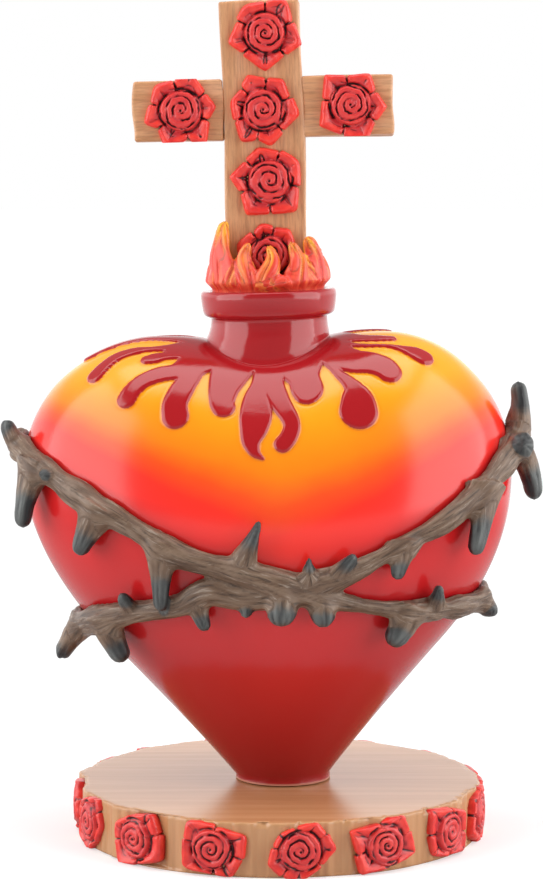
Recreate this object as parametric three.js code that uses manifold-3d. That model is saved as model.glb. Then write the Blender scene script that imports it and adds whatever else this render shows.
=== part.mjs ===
// A sacred heart in painted cast resin: a heart on a round plinth edged with roses, with a necked
// collar, dripping paint, a crown of thorns, a ring of flames and a cross set with roses.
// Units are millimetres, +Z is up, the front faces -Y, the origin is the centre of the underside.
// Turns are degrees around the upright axis, 0 at the front and positive towards +X.

import * as THREE from "three";
import { mergeVertices } from "three/addons/utils/BufferGeometryUtils.js";
import Module from "manifold-3d";

const wasm = await Module();
wasm.setup();

// Fits
const CLEARANCE = 0.3; // gap between two pieces that touch
const OVERLAP = 1; // how far a raised form reaches into the piece that it is cast on

// Plinth
const PLINTH_RADIUS = 60.6;
const PLINTH_HEIGHT = 16;
const PLINTH_BEVEL = 0.6; // of the upper edge
const PLINTH_WOBBLE = 0.5; // how far the hewn edge wanders in and out
const PLINTH_ROSES = 15;
const PLINTH_ROSE_RADIUS = 9.8;
const PLINTH_ROSE_RELIEF = 2.2;
const PLINTH_FIRST_ROSE = 5.5; // turn of the rose next to the front centre

// Heart, in a frame that leans to the left and stands on the plinth
const LEAN = 1.7; // degrees
const FOOT_SHIFT = 1.1; // how far the foot stands to the right of the plinth's centre
const FOOT_RADIUS = 14.3;
const FOOT_SKIRT = 2; // height of the upright band round the foot
const HEART_WIDTH = 147;
const HEART_DEPTH = 87;
const HEART_HEIGHT = 134; // from the plinth to where the neck leaves the lobes
const LOBE_SHIFT = -2; // how far the lobes sit to the left of the foot's axis
const NECK_RADIUS = 17.2;
const NECK_FLARE = 1.4;
const NECK_HEIGHT = 13; // from the neck's foot to the top of the collar
const COLLAR_RADIUS = 20.3;
const COLLAR_HEIGHT = 6.6;
const COLLAR_ROUND = 1.4; // how far the collar's edges are rounded
const SOCKET_DEPTH = 1.8;

// Drips of thick paint that run from the neck over the shoulders
const DRIP_RELIEF = 0.8;
const DRIP_REACH = 36; // of the longest drip, along the surface
const DRIP_HALF_WIDTH = 3;
const DRIPS_BEHIND = 5;
const DRIP_BEHIND_REACH = 26;

// Crown of thorns
const STRAND_RADIUS = 2.7;
const STRAND_SEAT = 1.9; // height of a strand's middle over the heart
const THORN_LENGTH = 10;
const THORN_ROOT = 3; // radius

// Flames
const FLAME_RADIUS = 16.8; // outside, at the base
const FLAME_WALL = 3.3;
const FLAME_SWELL = 1.6; // how far the tongues swell past the base
const FLAME_HEIGHT = 22.9; // of the tallest tongue over the socket's floor
const FLAME_VALLEY = 7.4; // height of the dips between the tongues

// Cross
const CROSS_HEIGHT = 89; // from its foot in the socket to its top
const CROSS_SPAN = 77.4;
const CROSS_THICKNESS = 8;
const POST_WIDTH = 23.8;
const ARM_HEIGHT = 18;
const ARM_DROP = 22.8; // from the top of the post down to the arms
const JOINT_GROOVE = 0.8; // depth of the groove on each side of the post
const CROSS_ROSE_RADIUS = 10.6;
const CROSS_ROSE_RELIEF = 2.8;
const CROSS_ROSE_CORE = 6.2;
const CROSS_ROSE_STEP = 22; // from one rose to the next down the post

// Facets
const AROUND = 28; // around the heart and around its crown, so that their facets lie parallel
const FLAME_FACETS = 42;
const PLINTH_FACETS = 45;

// Heights that follow from the sizes above, in the leaning frame
const COLLAR_TOP = HEART_HEIGHT + NECK_HEIGHT;
const SOCKET_FLOOR = COLLAR_TOP - SOCKET_DEPTH;
const SOCKET_RADIUS = FLAME_RADIUS + CLEARANCE;
const SEAT = SOCKET_FLOOR + CLEARANCE;

const FRONT = -Math.PI / 2; // the angle from +X that faces the front
const TAU = 2 * Math.PI;

const radians = THREE.MathUtils.degToRad;
const smoothstep = THREE.MathUtils.smoothstep;
const angleOf = (turn) => FRONT + radians(turn);

// Solids

function gridGeometry(rows, columns, ringClosed, pointAt) {
  // Skins a grid of points whose columns close on themselves, and whose rows do if ringClosed
  const positions = [];
  for (let row = 0; row < rows; row++) {
    for (let column = 0; column < columns; column++) {
      positions.push(...pointAt(row, column).toArray());
    }
  }
  const index = [];
  const lastRow = ringClosed ? rows : rows - 1;
  for (let row = 0; row < lastRow; row++) {
    for (let column = 0; column < columns; column++) {
      const a = row * columns + column;
      const b = row * columns + ((column + 1) % columns);
      const c = ((row + 1) % rows) * columns + column;
      const d = ((row + 1) % rows) * columns + ((column + 1) % columns);
      index.push(a, b, d, a, d, c);
    }
  }
  const geometry = new THREE.BufferGeometry();
  geometry.setAttribute("position", new THREE.Float32BufferAttribute(positions, 3));
  geometry.setIndex(index);
  return geometry;
}

function solid(geometry) {
  // Turns a closed geometry into a solid: coincident points merge and empty triangles go
  const bare = new THREE.BufferGeometry();
  bare.setAttribute("position", geometry.getAttribute("position"));
  bare.setIndex(geometry.getIndex());
  const merged = mergeVertices(bare, 1e-4);
  const source = merged.getIndex().array;
  const triangles = [];
  for (let i = 0; i < source.length; i += 3) {
    const [a, b, c] = [source[i], source[i + 1], source[i + 2]];
    if (a !== b && b !== c && c !== a) {
      triangles.push(a, b, c);
    }
  }
  const mesh = new wasm.Mesh({
    numProp: 3,
    vertProperties: merged.getAttribute("position").array,
    triVerts: Uint32Array.from(triangles),
  });
  mesh.merge();
  return new wasm.Manifold(mesh);
}

function joined(solids) {
  return solids.reduce((sum, next) => sum.add(next));
}

function meshOf(name, form, color, roughness) {
  const { vertProperties, triVerts } = form.getMesh();
  const geometry = new THREE.BufferGeometry();
  geometry.setAttribute("position", new THREE.BufferAttribute(vertProperties, 3));
  geometry.setIndex(new THREE.BufferAttribute(triVerts, 1));
  geometry.computeVertexNormals();
  const material = new THREE.MeshStandardMaterial({ color, roughness, metalness: 0, flatShading: true });
  const mesh = new THREE.Mesh(geometry, material);
  mesh.name = name;
  return mesh;
}

// Heart surface: a side profile and a front profile, blended around the upright axis

const halfWidth = HEART_WIDTH / 2;
const halfDepth = HEART_DEPTH / 2;
const neckFoot = NECK_RADIUS + NECK_FLARE;

function profile(corners) {
  // Cubic curves through [radius, height] points, four points to a curve, shared at the ends
  const points = corners.map(([radius, height]) => new THREE.Vector2(radius, height));
  const curves = [];
  for (let i = 0; i + 3 < points.length; i += 3) {
    curves.push(new THREE.CubicBezierCurve(points[i], points[i + 1], points[i + 2], points[i + 3]));
  }
  return curves;
}

// Each profile has four curves: cone, belly, lobe and shoulder
const sideProfile = profile([
  [FOOT_RADIUS, FOOT_SKIRT],
  [0.332 * halfWidth, 0.11 * HEART_HEIGHT],
  [0.486 * halfWidth, 0.204 * HEART_HEIGHT],
  [0.643 * halfWidth, 0.299 * HEART_HEIGHT],
  [0.762 * halfWidth, 0.367 * HEART_HEIGHT],
  [halfWidth, 0.518 * HEART_HEIGHT],
  [halfWidth, 0.709 * HEART_HEIGHT],
  [halfWidth, 0.883 * HEART_HEIGHT],
  [0.73 * halfWidth, 1.01 * HEART_HEIGHT],
  [0.449 * halfWidth, 1.01 * HEART_HEIGHT],
  [0.36 * halfWidth, 1.01 * HEART_HEIGHT],
  [1.13 * neckFoot, 1.005 * HEART_HEIGHT],
  [neckFoot, HEART_HEIGHT],
]);
const frontProfile = profile([
  [FOOT_RADIUS, FOOT_SKIRT],
  [0.48 * halfDepth, 0.104 * HEART_HEIGHT],
  [0.64 * halfDepth, 0.194 * HEART_HEIGHT],
  [0.77 * halfDepth, 0.284 * HEART_HEIGHT],
  [0.908 * halfDepth, 0.381 * HEART_HEIGHT],
  [halfDepth, 0.493 * HEART_HEIGHT],
  [halfDepth, 0.597 * HEART_HEIGHT],
  [halfDepth, 0.694 * HEART_HEIGHT],
  [0.885 * halfDepth, 0.784 * HEART_HEIGHT],
  [0.713 * halfDepth, 0.847 * HEART_HEIGHT],
  [0.62 * halfDepth, 0.881 * HEART_HEIGHT],
  [1.23 * neckFoot, 0.918 * HEART_HEIGHT],
  [neckFoot, 0.937 * HEART_HEIGHT],
]);
const TOP_LEVEL = sideProfile.length;

function profilePoint(curves, level) {
  const curve = Math.min(Math.floor(level), curves.length - 1);
  return curves[curve].getPoint(level - curve);
}

function leftward(height) {
  // The lobes sit a little to the left, and the neck comes back over the foot
  const rise = smoothstep(height, 0.34 * HEART_HEIGHT, 0.78 * HEART_HEIGHT);
  const fall = smoothstep(height, 0.9 * HEART_HEIGHT, COLLAR_TOP - COLLAR_HEIGHT);
  return LOBE_SHIFT * rise * (1 - fall);
}

function onHeart(angle, level) {
  // Level runs from 0 at the foot's skirt to TOP_LEVEL at the foot of the neck
  const side = profilePoint(sideProfile, level);
  const front = profilePoint(frontProfile, level);
  const across = Math.cos(angle);
  const along = Math.sin(angle);
  const height = side.y * across ** 2 + front.y * along ** 2;
  return new THREE.Vector3(side.x * across + leftward(height), front.x * along, height);
}

function heartNormal(angle, level) {
  const step = 0.01;
  const low = Math.max(level - step, 0);
  const high = Math.min(level + step, TOP_LEVEL);
  const around = onHeart(angle + step, level).sub(onHeart(angle - step, level));
  const upward = onHeart(angle, high).sub(onHeart(angle, low));
  return around.cross(upward).normalize();
}

function offHeart(angle, level, offset) {
  return onHeart(angle, level).addScaledVector(heartNormal(angle, level), offset);
}

function levelAtHeight(angle, height) {
  let low = 0;
  let high = 2.7;
  for (let i = 0; i < 30; i++) {
    const middle = (low + high) / 2;
    if (onHeart(angle, middle).z < height) {
      low = middle;
    } else {
      high = middle;
    }
  }
  return (low + high) / 2;
}

function levelAtReach(angle, reach) {
  // Walks down from the neck until the distance along the surface is the reach
  const step = 0.01;
  let level = TOP_LEVEL;
  let walked = 0;
  while (walked < reach && level > step) {
    walked += onHeart(angle, level).distanceTo(onHeart(angle, level - step));
    level -= step;
  }
  return level;
}

function heartBody() {
  // The closed body from foot to socket
  const levels = [0, 0.5, 1, 1.35, 1.7, 2, 2.3, 2.6, 3, 4];
  const neckTop = COLLAR_TOP - COLLAR_HEIGHT;
  const rings = [
    [NECK_RADIUS + 0.15 * NECK_FLARE, HEART_HEIGHT + 0.3 * (neckTop - HEART_HEIGHT)],
    [NECK_RADIUS, neckTop],
    [COLLAR_RADIUS - COLLAR_ROUND, neckTop],
    [COLLAR_RADIUS, neckTop + COLLAR_ROUND],
    [COLLAR_RADIUS, COLLAR_TOP - COLLAR_ROUND],
    [COLLAR_RADIUS - COLLAR_ROUND, COLLAR_TOP],
    [SOCKET_RADIUS, COLLAR_TOP],
    [SOCKET_RADIUS, SOCKET_FLOOR],
    [0, SOCKET_FLOOR],
  ];
  const below = -FOOT_SKIRT; // the foot goes on below the plinth's top, and is cut level there
  const rows = 2 + levels.length + rings.length;
  return solid(gridGeometry(rows, AROUND, false, (row, column) => {
    const angle = (column / AROUND) * TAU;
    const spread = (radius, height) =>
      new THREE.Vector3(radius * Math.cos(angle) + leftward(height), radius * Math.sin(angle), height);
    if (row === 0) {
      return new THREE.Vector3(0, 0, below);
    }
    if (row === 1) {
      return spread(FOOT_RADIUS, below);
    }
    if (row < 2 + levels.length) {
      return onHeart(angle, levels[row - 2]);
    }
    const [radius, height] = rings[row - 2 - levels.length];
    return spread(radius, height);
  }));
}

// Drips: [turn, reach from the neck, half width] at each point, from the neck to the round tip,
// the reach as a share of DRIP_REACH and the width as a share of DRIP_HALF_WIDTH
const DRIPS = [
  [[-72, 0, 1], [-79, 0.36, 0.6], [-81, 0.69, 0.53], [-82, 1, 0.6]],
  [[-63, 0.06, 1.13], [-69, 0.42, 0.8], [-70, 0.72, 0.67], [-68, 1.03, 0.73]],
  [[-56, 0.06, 1], [-60, 0.36, 0.73], [-62, 0.56, 0.53]],
  [[-52, 0.06, 1.13], [-54, 0.47, 0.87], [-52, 0.72, 0.73], [-50, 0.89, 1]],
  [[-46, 0.03, 1.33], [-44, 0.39, 1], [-37, 0.61, 0.93], [-31, 0.78, 1.2]],
  [[-36, 0.03, 1.33], [-29, 0.25, 1.07], [-22, 0.49, 1.17]],
  [[-13, -0.03, 1.67], [-10, 0.25, 1.4], [-8, 0.5, 1.4], [-5, 0.72, 1], [-1, 0.86, 0.53]],
  [[17, -0.03, 1.67], [14, 0.25, 1], [12, 0.5, 1], [9, 0.72, 1.07], [5, 0.83, 0.67]],
  [[38, 0, 1.33], [30, 0.22, 1.33], [26, 0.35, 1.53]],
  [[52, 0.03, 1], [43, 0.28, 0.87], [39, 0.47, 1], [34, 0.75, 1.6]],
  [[55, 0.06, 1.13], [51, 0.31, 1.07], [50, 0.61, 1.07], [51, 0.72, 0.73]],
  [[62, 0.06, 1], [67, 0.42, 0.6], [68, 0.67, 0.53], [68, 0.89, 0.67]],
  [[70, 0.08, 0.87], [72, 0.31, 0.67], [73, 0.5, 0.6]],
];

function dripsBehind() {
  // Plainer drips on the hidden side: straight, evenly turned, every other one shorter
  const drips = [];
  for (let i = 0; i < DRIPS_BEHIND; i++) {
    const turn = 102 + (156 * i) / (DRIPS_BEHIND - 1);
    const reach = i % 2 ? DRIP_BEHIND_REACH : 0.65 * DRIP_BEHIND_REACH;
    drips.push([[turn, 0, 1.07], [turn, reach / DRIP_REACH, 1.07]]);
  }
  return drips;
}

function drip(stops) {
  // A ribbon laid on the heart: four points to a section, with a round end
  const path = new THREE.CatmullRomCurve3(stops.map((stop) => new THREE.Vector3(...stop)));
  const spans = stops.length;
  const sections = [];
  for (let i = 0; i <= spans; i++) {
    sections.push({ at: i / spans, past: 0, share: 1 });
  }
  sections.push({ at: 1, past: 0.85, share: 0.5 });
  const corners = [[-1, -OVERLAP], [-0.9, DRIP_RELIEF], [0.9, DRIP_RELIEF], [1, -OVERLAP]];
  const surfacePoint = (turn, reach) => {
    const angle = angleOf(turn);
    const level = levelAtReach(angle, Math.max(reach, 0) * DRIP_REACH);
    return { spot: onHeart(angle, level), normal: heartNormal(angle, level) };
  };
  const frames = sections.map(({ at, past, share }) => {
    const stop = path.getPoint(at);
    const width = stop.z * DRIP_HALF_WIDTH;
    const back = path.getPoint(Math.max(at - 0.05, 0));
    const ahead = path.getPoint(Math.min(at + 0.05, 1));
    const here = surfacePoint(stop.x, stop.y);
    const from = surfacePoint(back.x, back.y).spot;
    const to = surfacePoint(ahead.x, ahead.y).spot;
    const forward = to.sub(from).normalize();
    const side = forward.clone().cross(here.normal).normalize();
    const spot = here.spot.addScaledVector(forward, past * width);
    return { spot, side, normal: here.normal, width: width * share };
  });
  const rows = frames.length + 2;
  return solid(gridGeometry(rows, corners.length, false, (row, column) => {
    const frame = frames[Math.min(Math.max(row - 1, 0), frames.length - 1)];
    const capped = row === 0 || row === rows - 1;
    const [across, height] = capped ? [0, 0] : corners[column];
    return frame.spot
      .clone()
      .addScaledVector(frame.side, across * frame.width)
      .addScaledVector(frame.normal, height);
  }));
}

// Crown of thorns

// Height of each strand around the heart, as shares of the heart's height: mean, tilt, sag and skew
const STRANDS = [
  { mean: 0.547, tilt: -0.184, sag: 0.05, skew: 0.001 },
  { mean: 0.523, tilt: 0.16, sag: 0.047, skew: 0.026 },
];

// Thorns: strand, turn, turn of the tip from the root, then the tip's rise and its distance off the
// heart as shares of THORN_LENGTH, and the root's radius as a share of THORN_ROOT
const THORNS = [
  [0, -80, -6, 0.45, 1.2, 0.85],
  [0, -66, -2, -1.5, 0.7, 1.15],
  [0, -58, 1, 0, 0.65, 0.7],
  [0, -41, -7, -1.4, 0.45, 1.15],
  [0, -25, -4, -1.8, 0.6, 0.93],
  [0, -8, 4, 1.55, 0.45, 0.9],
  [1, -20, 1, -0.75, 0.4, 0.8],
  [0, 2, -1, -0.85, 0.6, 1.05],
  [1, 8, 0, 0.9, 0.45, 0.85],
  [1, 13, 5, 0.8, 0.5, 0.6],
  [0, 11, 1, -0.65, 0.5, 0.8],
  [1, 31, -2, -0.8, 0.45, 0.75],
  [1, 58, -7, -1.8, 0.55, 1],
  [1, 86, 0, -1.4, 0.8, 0.85],
  [1, 88, 1, 1.3, 0.9, 0.85],
  [1, 77, -6, 0.15, 0.75, 1.1],
  [0, 47, -4, 0.9, 0.45, 0.7],
  [0, 38, -5, -0.85, 0.5, 0.95],
  [0, 82, -2, -0.2, 0.75, 0.85],
  [1, -41, 2, 0.75, 0.5, 0.5],
  [1, -55, 1, -1.05, 0.55, 1.3],
  [1, -82, -2, -1, 1.1, 0.9],
];
const SEAT_FLOOR = CLEARANCE + 0.1; // the crown's facets lie this far off the true surface, or more
const SIDE_TURN = 70; // every third thorn between the sides is repeated behind, half a turn round

function strandHeight(which, angle) {
  const { mean, tilt, sag, skew } = STRANDS[which];
  const wave = tilt * Math.cos(angle) + sag * Math.cos(2 * angle) + skew * Math.cos(3 * angle);
  return HEART_HEIGHT * (mean + wave);
}

function strandSpot(which, angle, offset) {
  return offHeart(angle, levelAtHeight(angle, strandHeight(which, angle)), offset);
}

function strand(which) {
  // A closed loop with a knotty five-sided section, flattened where it lies on the heart
  const sides = 5;
  const geometry = gridGeometry(AROUND, sides, true, (row, column) => {
    const angle = (row / AROUND) * TAU;
    const middle = strandSpot(which, angle, STRAND_SEAT);
    const ahead = strandSpot(which, angle + 0.02, STRAND_SEAT);
    const back = strandSpot(which, angle - 0.02, STRAND_SEAT);
    const forward = ahead.sub(back).normalize();
    const outward = strandSpot(which, angle, STRAND_SEAT + 1).sub(middle).normalize();
    const upward = forward.clone().cross(outward).normalize();
    const knots = Math.sin(9 * angle + 2 * which) + 0.6 * Math.sin(14 * angle + 1);
    const radius = STRAND_RADIUS * (1 + 0.08 * knots);
    const roll = (column / sides) * TAU + 0.3 * Math.sin(5 * angle);
    return middle
      .addScaledVector(outward, Math.max(radius * Math.cos(roll), SEAT_FLOOR - STRAND_SEAT))
      .addScaledVector(upward, radius * Math.sin(roll));
  });
  return solid(geometry);
}

function thorn(which, angle, lean, rise, out, root) {
  // A four-sided spike that leaves the strand outwards and bends to its tip
  const base = strandSpot(which, angle, 0.74 * STRAND_SEAT);
  const tipAngle = angle + radians(lean);
  const tipHeight = strandHeight(which, angle) + rise;
  const tip = offHeart(tipAngle, levelAtHeight(tipAngle, tipHeight), out);
  const outward = strandSpot(which, angle, STRAND_SEAT + 1).sub(base).normalize();
  const bend = base.clone().lerp(tip, 0.4).addScaledVector(outward, 0.35 * out);
  const spine = new THREE.QuadraticBezierCurve3(base, bend, tip);
  const stations = [[0, 1.45], [0.5, 1], [1, 0]];
  const sides = 4;
  const ground = strandSpot(which, angle, SEAT_FLOOR);
  return solid(gridGeometry(stations.length + 1, sides, false, (row, column) => {
    if (row === 0) {
      return base.clone();
    }
    const [at, share] = stations[row - 1];
    const forward = spine.getTangent(at);
    const side = forward.clone().cross(new THREE.Vector3(0, 0.37, 1)).normalize();
    const other = side.clone().cross(forward).normalize();
    const roll = (column / sides) * TAU;
    const spot = spine
      .getPoint(at)
      .addScaledVector(side, -root * share * Math.cos(roll))
      .addScaledVector(other, root * share * Math.sin(roll));
    const sunk = Math.min(spot.clone().sub(ground).dot(outward), 0);
    return spot.addScaledVector(outward, -sunk);
  }));
}

function crown() {
  const forms = [strand(0), strand(1)];
  THORNS.forEach(([which, turn, lean, rise, out, root], row) => {
    const sizes = [rise * THORN_LENGTH, out * THORN_LENGTH, root * THORN_ROOT];
    forms.push(thorn(which, angleOf(turn), lean, ...sizes));
    if (Math.abs(turn) < SIDE_TURN && row % 3 === 0) {
      forms.push(thorn(1 - which, angleOf(turn + 180), lean, ...sizes));
    }
  });
  return joined(forms);
}

// Flames

// Tongues: turn, height of the tip as a share of FLAME_HEIGHT, half of the spread in degrees
const TONGUES = [
  [-85, 0.63, 15],
  [-55, 1, 14],
  [-24, 0.74, 12],
  [0, 0.68, 10],
  [27, 0.74, 12],
  [52, 0.75, 15],
  [82, 0.52, 14],
  [110, 0.7, 14],
  [138, 0.57, 13],
  [165, 0.74, 14],
  [193, 0.57, 13],
  [221, 0.72, 14],
  [248, 0.57, 13],
];

function tongueHeight(turn) {
  let height = FLAME_VALLEY;
  for (const [middle, top, spread] of TONGUES) {
    const away = Math.abs(THREE.MathUtils.euclideanModulo(turn - middle + 180, 360) - 180) / spread;
    const share = Math.max(1 - away ** 1.4, 0);
    height = Math.max(height, FLAME_VALLEY + (top * FLAME_HEIGHT - FLAME_VALLEY) * share);
  }
  return height;
}

function flames() {
  // A wall around the cross whose top edge rises in tongues: out, up, over the top and down inside
  const inner = FLAME_RADIUS - FLAME_WALL;
  const rows = 8;
  return solid(gridGeometry(rows, FLAME_FACETS, true, (row, column) => {
    const turn = (column / FLAME_FACETS) * 360;
    const height = tongueHeight(turn);
    const ridge = Math.min((2 * (height - FLAME_VALLEY)) / FLAME_HEIGHT, 1);
    const swell = FLAME_SWELL * (1 + 0.4 * ridge);
    const section = [
      [inner, 0],
      [FLAME_RADIUS, 0],
      [FLAME_RADIUS, SOCKET_DEPTH],
      [FLAME_RADIUS + swell, 0.6 * FLAME_VALLEY],
      [FLAME_RADIUS + swell, FLAME_VALLEY],
      [FLAME_RADIUS + 0.25 * FLAME_SWELL, height],
      [FLAME_RADIUS - 0.3 * FLAME_WALL, height],
      [inner + 0.2 * FLAME_WALL, FLAME_VALLEY],
    ];
    const [radius, rise] = section[row];
    const angle = angleOf(turn);
    return new THREE.Vector3(radius * Math.cos(angle), radius * Math.sin(angle), SEAT + rise);
  }));
}

// Roses

function rose(reach, core, relief, turns, samples) {
  // A rolled bud inside five folded outer petals, facing +Z. The bud is a spiral: ring k runs at
  // the radius pitch * (k / 2 + turned), ridge and groove by turns, and after one turn it is ring
  // k + 2. Samples are [angle in a petal, reach share, height share].
  const petals = 5;
  const pitch = core / turns;
  const groove = 0.4 * relief;
  const rings = 3 + Math.ceil((2 * core) / pitch);
  const columns = petals * samples.length;
  const rows = rings + 5;
  const sampleAt = (column) => samples[column % samples.length];
  const turned = (column) => {
    const petal = Math.floor(column / samples.length);
    return (petal + (column === columns ? 0 : sampleAt(column)[0])) / petals;
  };
  const pointAt = (row, column) => {
    const share = turned(column);
    const angle = share * TAU;
    const [, wide, high] = sampleAt(column);
    let radius = 0;
    let height = relief;
    if (row > 0 && row <= rings) {
      const ring = row - 3;
      radius = THREE.MathUtils.clamp(pitch * (ring / 2 + share), 0, core);
      const raised = radius === 0 || radius === core || ring % 2 === 0;
      height = raised ? relief - 0.25 * relief * (radius / core) ** 2 : relief - groove;
    } else if (row === rings + 1) {
      radius = 1.06 * core;
      height = 0.25 * relief;
    } else if (row === rings + 2) {
      radius = core + 0.72 * (reach * wide - core);
      height = 0.85 * relief * high;
    } else if (row > rings + 2) {
      radius = reach * wide;
      height = -OVERLAP;
    }
    if (row === rows - 1) {
      radius = 0;
    }
    return new THREE.Vector3(radius * Math.cos(angle), radius * Math.sin(angle), height);
  };
  const positions = [];
  const index = [];
  for (let row = 0; row < rows; row++) {
    for (let column = 0; column <= columns; column++) {
      positions.push(...pointAt(row, column).toArray());
    }
  }
  const stride = columns + 1;
  for (let row = 0; row + 1 < rows; row++) {
    for (let column = 0; column < columns; column++) {
      const a = row * stride + column;
      index.push(a, a + stride, a + stride + 1, a, a + stride + 1, a + 1);
    }
  }
  const geometry = new THREE.BufferGeometry();
  geometry.setAttribute("position", new THREE.Float32BufferAttribute(positions, 3));
  geometry.setIndex(index);
  return geometry;
}

// Cross

// Roses on the cross: across, height over the cross's foot, turn of the petals in degrees, size
const crossing = CROSS_HEIGHT - ARM_DROP - ARM_HEIGHT / 2;
const armMiddle = (CROSS_SPAN + POST_WIDTH) / 4;
const CROSS_ROSES = [
  [0.04 * POST_WIDTH, crossing + 1.04 * CROSS_ROSE_STEP, 20, 1],
  [0, crossing, 0, 1],
  [-armMiddle, crossing, 52, 1],
  [armMiddle + 0.04 * POST_WIDTH, crossing, 30, 1],
  [0.04 * POST_WIDTH, crossing - 0.95 * CROSS_ROSE_STEP, 62, 1.04],
  [0.03 * POST_WIDTH, crossing - 1.95 * CROSS_ROSE_STEP, 10, 0.95],
];

function crossBoard() {
  const arm = CROSS_SPAN / 2;
  const post = POST_WIDTH / 2;
  const armTop = CROSS_HEIGHT - ARM_DROP;
  const armFoot = armTop - ARM_HEIGHT;
  const half = [
    [post, 0],
    [post, armFoot],
    [arm, armFoot],
    [arm, armTop],
    [post, armTop],
    [post, CROSS_HEIGHT],
  ];
  const mirrored = half.map(([x, y]) => [-x, y]).reverse();
  const outline = new THREE.Shape([...half, ...mirrored].map(([x, y]) => new THREE.Vector2(x, y)));
  const board = new THREE.ExtrudeGeometry(outline, { depth: CROSS_THICKNESS, bevelEnabled: false });
  board.translate(0, 0, -CROSS_THICKNESS / 2);
  let form = solid(board);
  for (const side of [-1, 1]) {
    const groove = new THREE.BoxGeometry(1, 1, 1);
    groove.rotateY(Math.PI / 4);
    groove.scale(JOINT_GROOVE * Math.SQRT2, ARM_HEIGHT + 2, JOINT_GROOVE * Math.SQRT2);
    groove.translate(side * post, armTop - ARM_HEIGHT / 2, CROSS_THICKNESS / 2);
    form = form.subtract(solid(groove));
  }
  return form;
}

function cross() {
  const samples = [[0, 1, 1], [0.36, 0.9, 0.95], [0.56, 0.8, 0.35]];
  const forms = [crossBoard()];
  for (const [across, height, turn, size] of CROSS_ROSES) {
    const form = rose(CROSS_ROSE_RADIUS * size, CROSS_ROSE_CORE * size, CROSS_ROSE_RELIEF, 1.5, samples);
    form.rotateZ(radians(turn));
    form.translate(across, height, CROSS_THICKNESS / 2);
    forms.push(solid(form));
  }
  return joined(forms);
}

// Plinth

function plinthRadius(angle) {
  const wander = Math.sin(5 * angle) + 0.7 * Math.sin(11 * angle + 1) + 0.5 * Math.sin(3 * angle + 2);
  return PLINTH_RADIUS + (PLINTH_WOBBLE * wander) / 2.2;
}

function clampHeight(geometry, half) {
  // Petals that would pass the slab's edges are cut off square there
  const position = geometry.getAttribute("position");
  for (let i = 0; i < position.count; i++) {
    position.setY(i, THREE.MathUtils.clamp(position.getY(i), -half, half));
  }
}

function plinth() {
  const rings = [
    [-PLINTH_RADIUS * 2, 0],
    [0, 0],
    [0, PLINTH_HEIGHT - PLINTH_BEVEL],
    [-PLINTH_BEVEL, PLINTH_HEIGHT],
    [-PLINTH_RADIUS * 2, PLINTH_HEIGHT],
  ];
  const slab = solid(gridGeometry(rings.length, PLINTH_FACETS, false, (row, column) => {
    const angle = (column / PLINTH_FACETS) * TAU;
    const [inset, height] = rings[row];
    const radius = Math.max(plinthRadius(angle) + inset, 0);
    return new THREE.Vector3(radius * Math.cos(angle), radius * Math.sin(angle), height);
  }));
  const samples = [[0, 1, 1], [0.5, 0.84, 0.4]];
  const roses = [];
  for (let i = 0; i < PLINTH_ROSES; i++) {
    const angle = angleOf(PLINTH_FIRST_ROSE + (360 * i) / PLINTH_ROSES);
    const form = rose(PLINTH_ROSE_RADIUS, 0.52 * PLINTH_ROSE_RADIUS, PLINTH_ROSE_RELIEF, 1, samples);
    form.rotateZ(radians(37 * i));
    clampHeight(form, PLINTH_HEIGHT / 2 - PLINTH_BEVEL);
    form.rotateX(Math.PI / 2);
    form.translate(0, -(plinthRadius(angle) - 0.4 * OVERLAP), 0);
    form.rotateZ(angle - FRONT);
    form.translate(0, 0, PLINTH_HEIGHT / 2);
    roses.push(solid(form));
  }
  return joined([slab, ...roses]);
}

// Assembly

const statue = new THREE.Group();
const leaning = new THREE.Group();
leaning.position.set(FOOT_SHIFT, 0, PLINTH_HEIGHT);
leaning.rotation.y = -radians(LEAN);
leaning.updateMatrixWorld(true);

function heart() {
  // The foot is cut level, a clearance over the plinth's top
  const ground = new THREE.BoxGeometry(4 * FOOT_RADIUS, 4 * FOOT_RADIUS, PLINTH_HEIGHT);
  ground.translate(FOOT_SHIFT, 0, PLINTH_HEIGHT / 2 + CLEARANCE);
  ground.applyMatrix4(leaning.matrixWorld.clone().invert());
  const drips = [...DRIPS, ...dripsBehind()].map(drip);
  return joined([heartBody(), ...drips]).subtract(solid(ground));
}

const crossMesh = meshOf("cross", cross(), "#b98a66", 0.6);
crossMesh.rotation.x = Math.PI / 2;
crossMesh.position.z = SEAT;

statue.add(meshOf("plinth", plinth(), "#b98a66", 0.6));
leaning.add(meshOf("heart", heart(), "#d8342a", 0.35));
leaning.add(meshOf("crown_of_thorns", crown(), "#7f6a56", 0.6));
leaning.add(meshOf("flame_ring", flames(), "#e8573a", 0.45));
leaning.add(crossMesh);
statue.add(leaning);

export default statue;
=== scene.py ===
# %% [markdown]
# # A sacred heart in painted cast resin
#
# The statue is a heart on a round plinth, with a necked collar, a crown of thorns, a ring of flames
# and a cross set with roses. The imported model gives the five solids, and each of them is dressed
# here in a finer skin with its paint. Lengths are worked out in millimetres and put into the
# meshes in metres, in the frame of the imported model: the front faces -Y and +Z is up.

# %% Load the frame
import math

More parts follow.
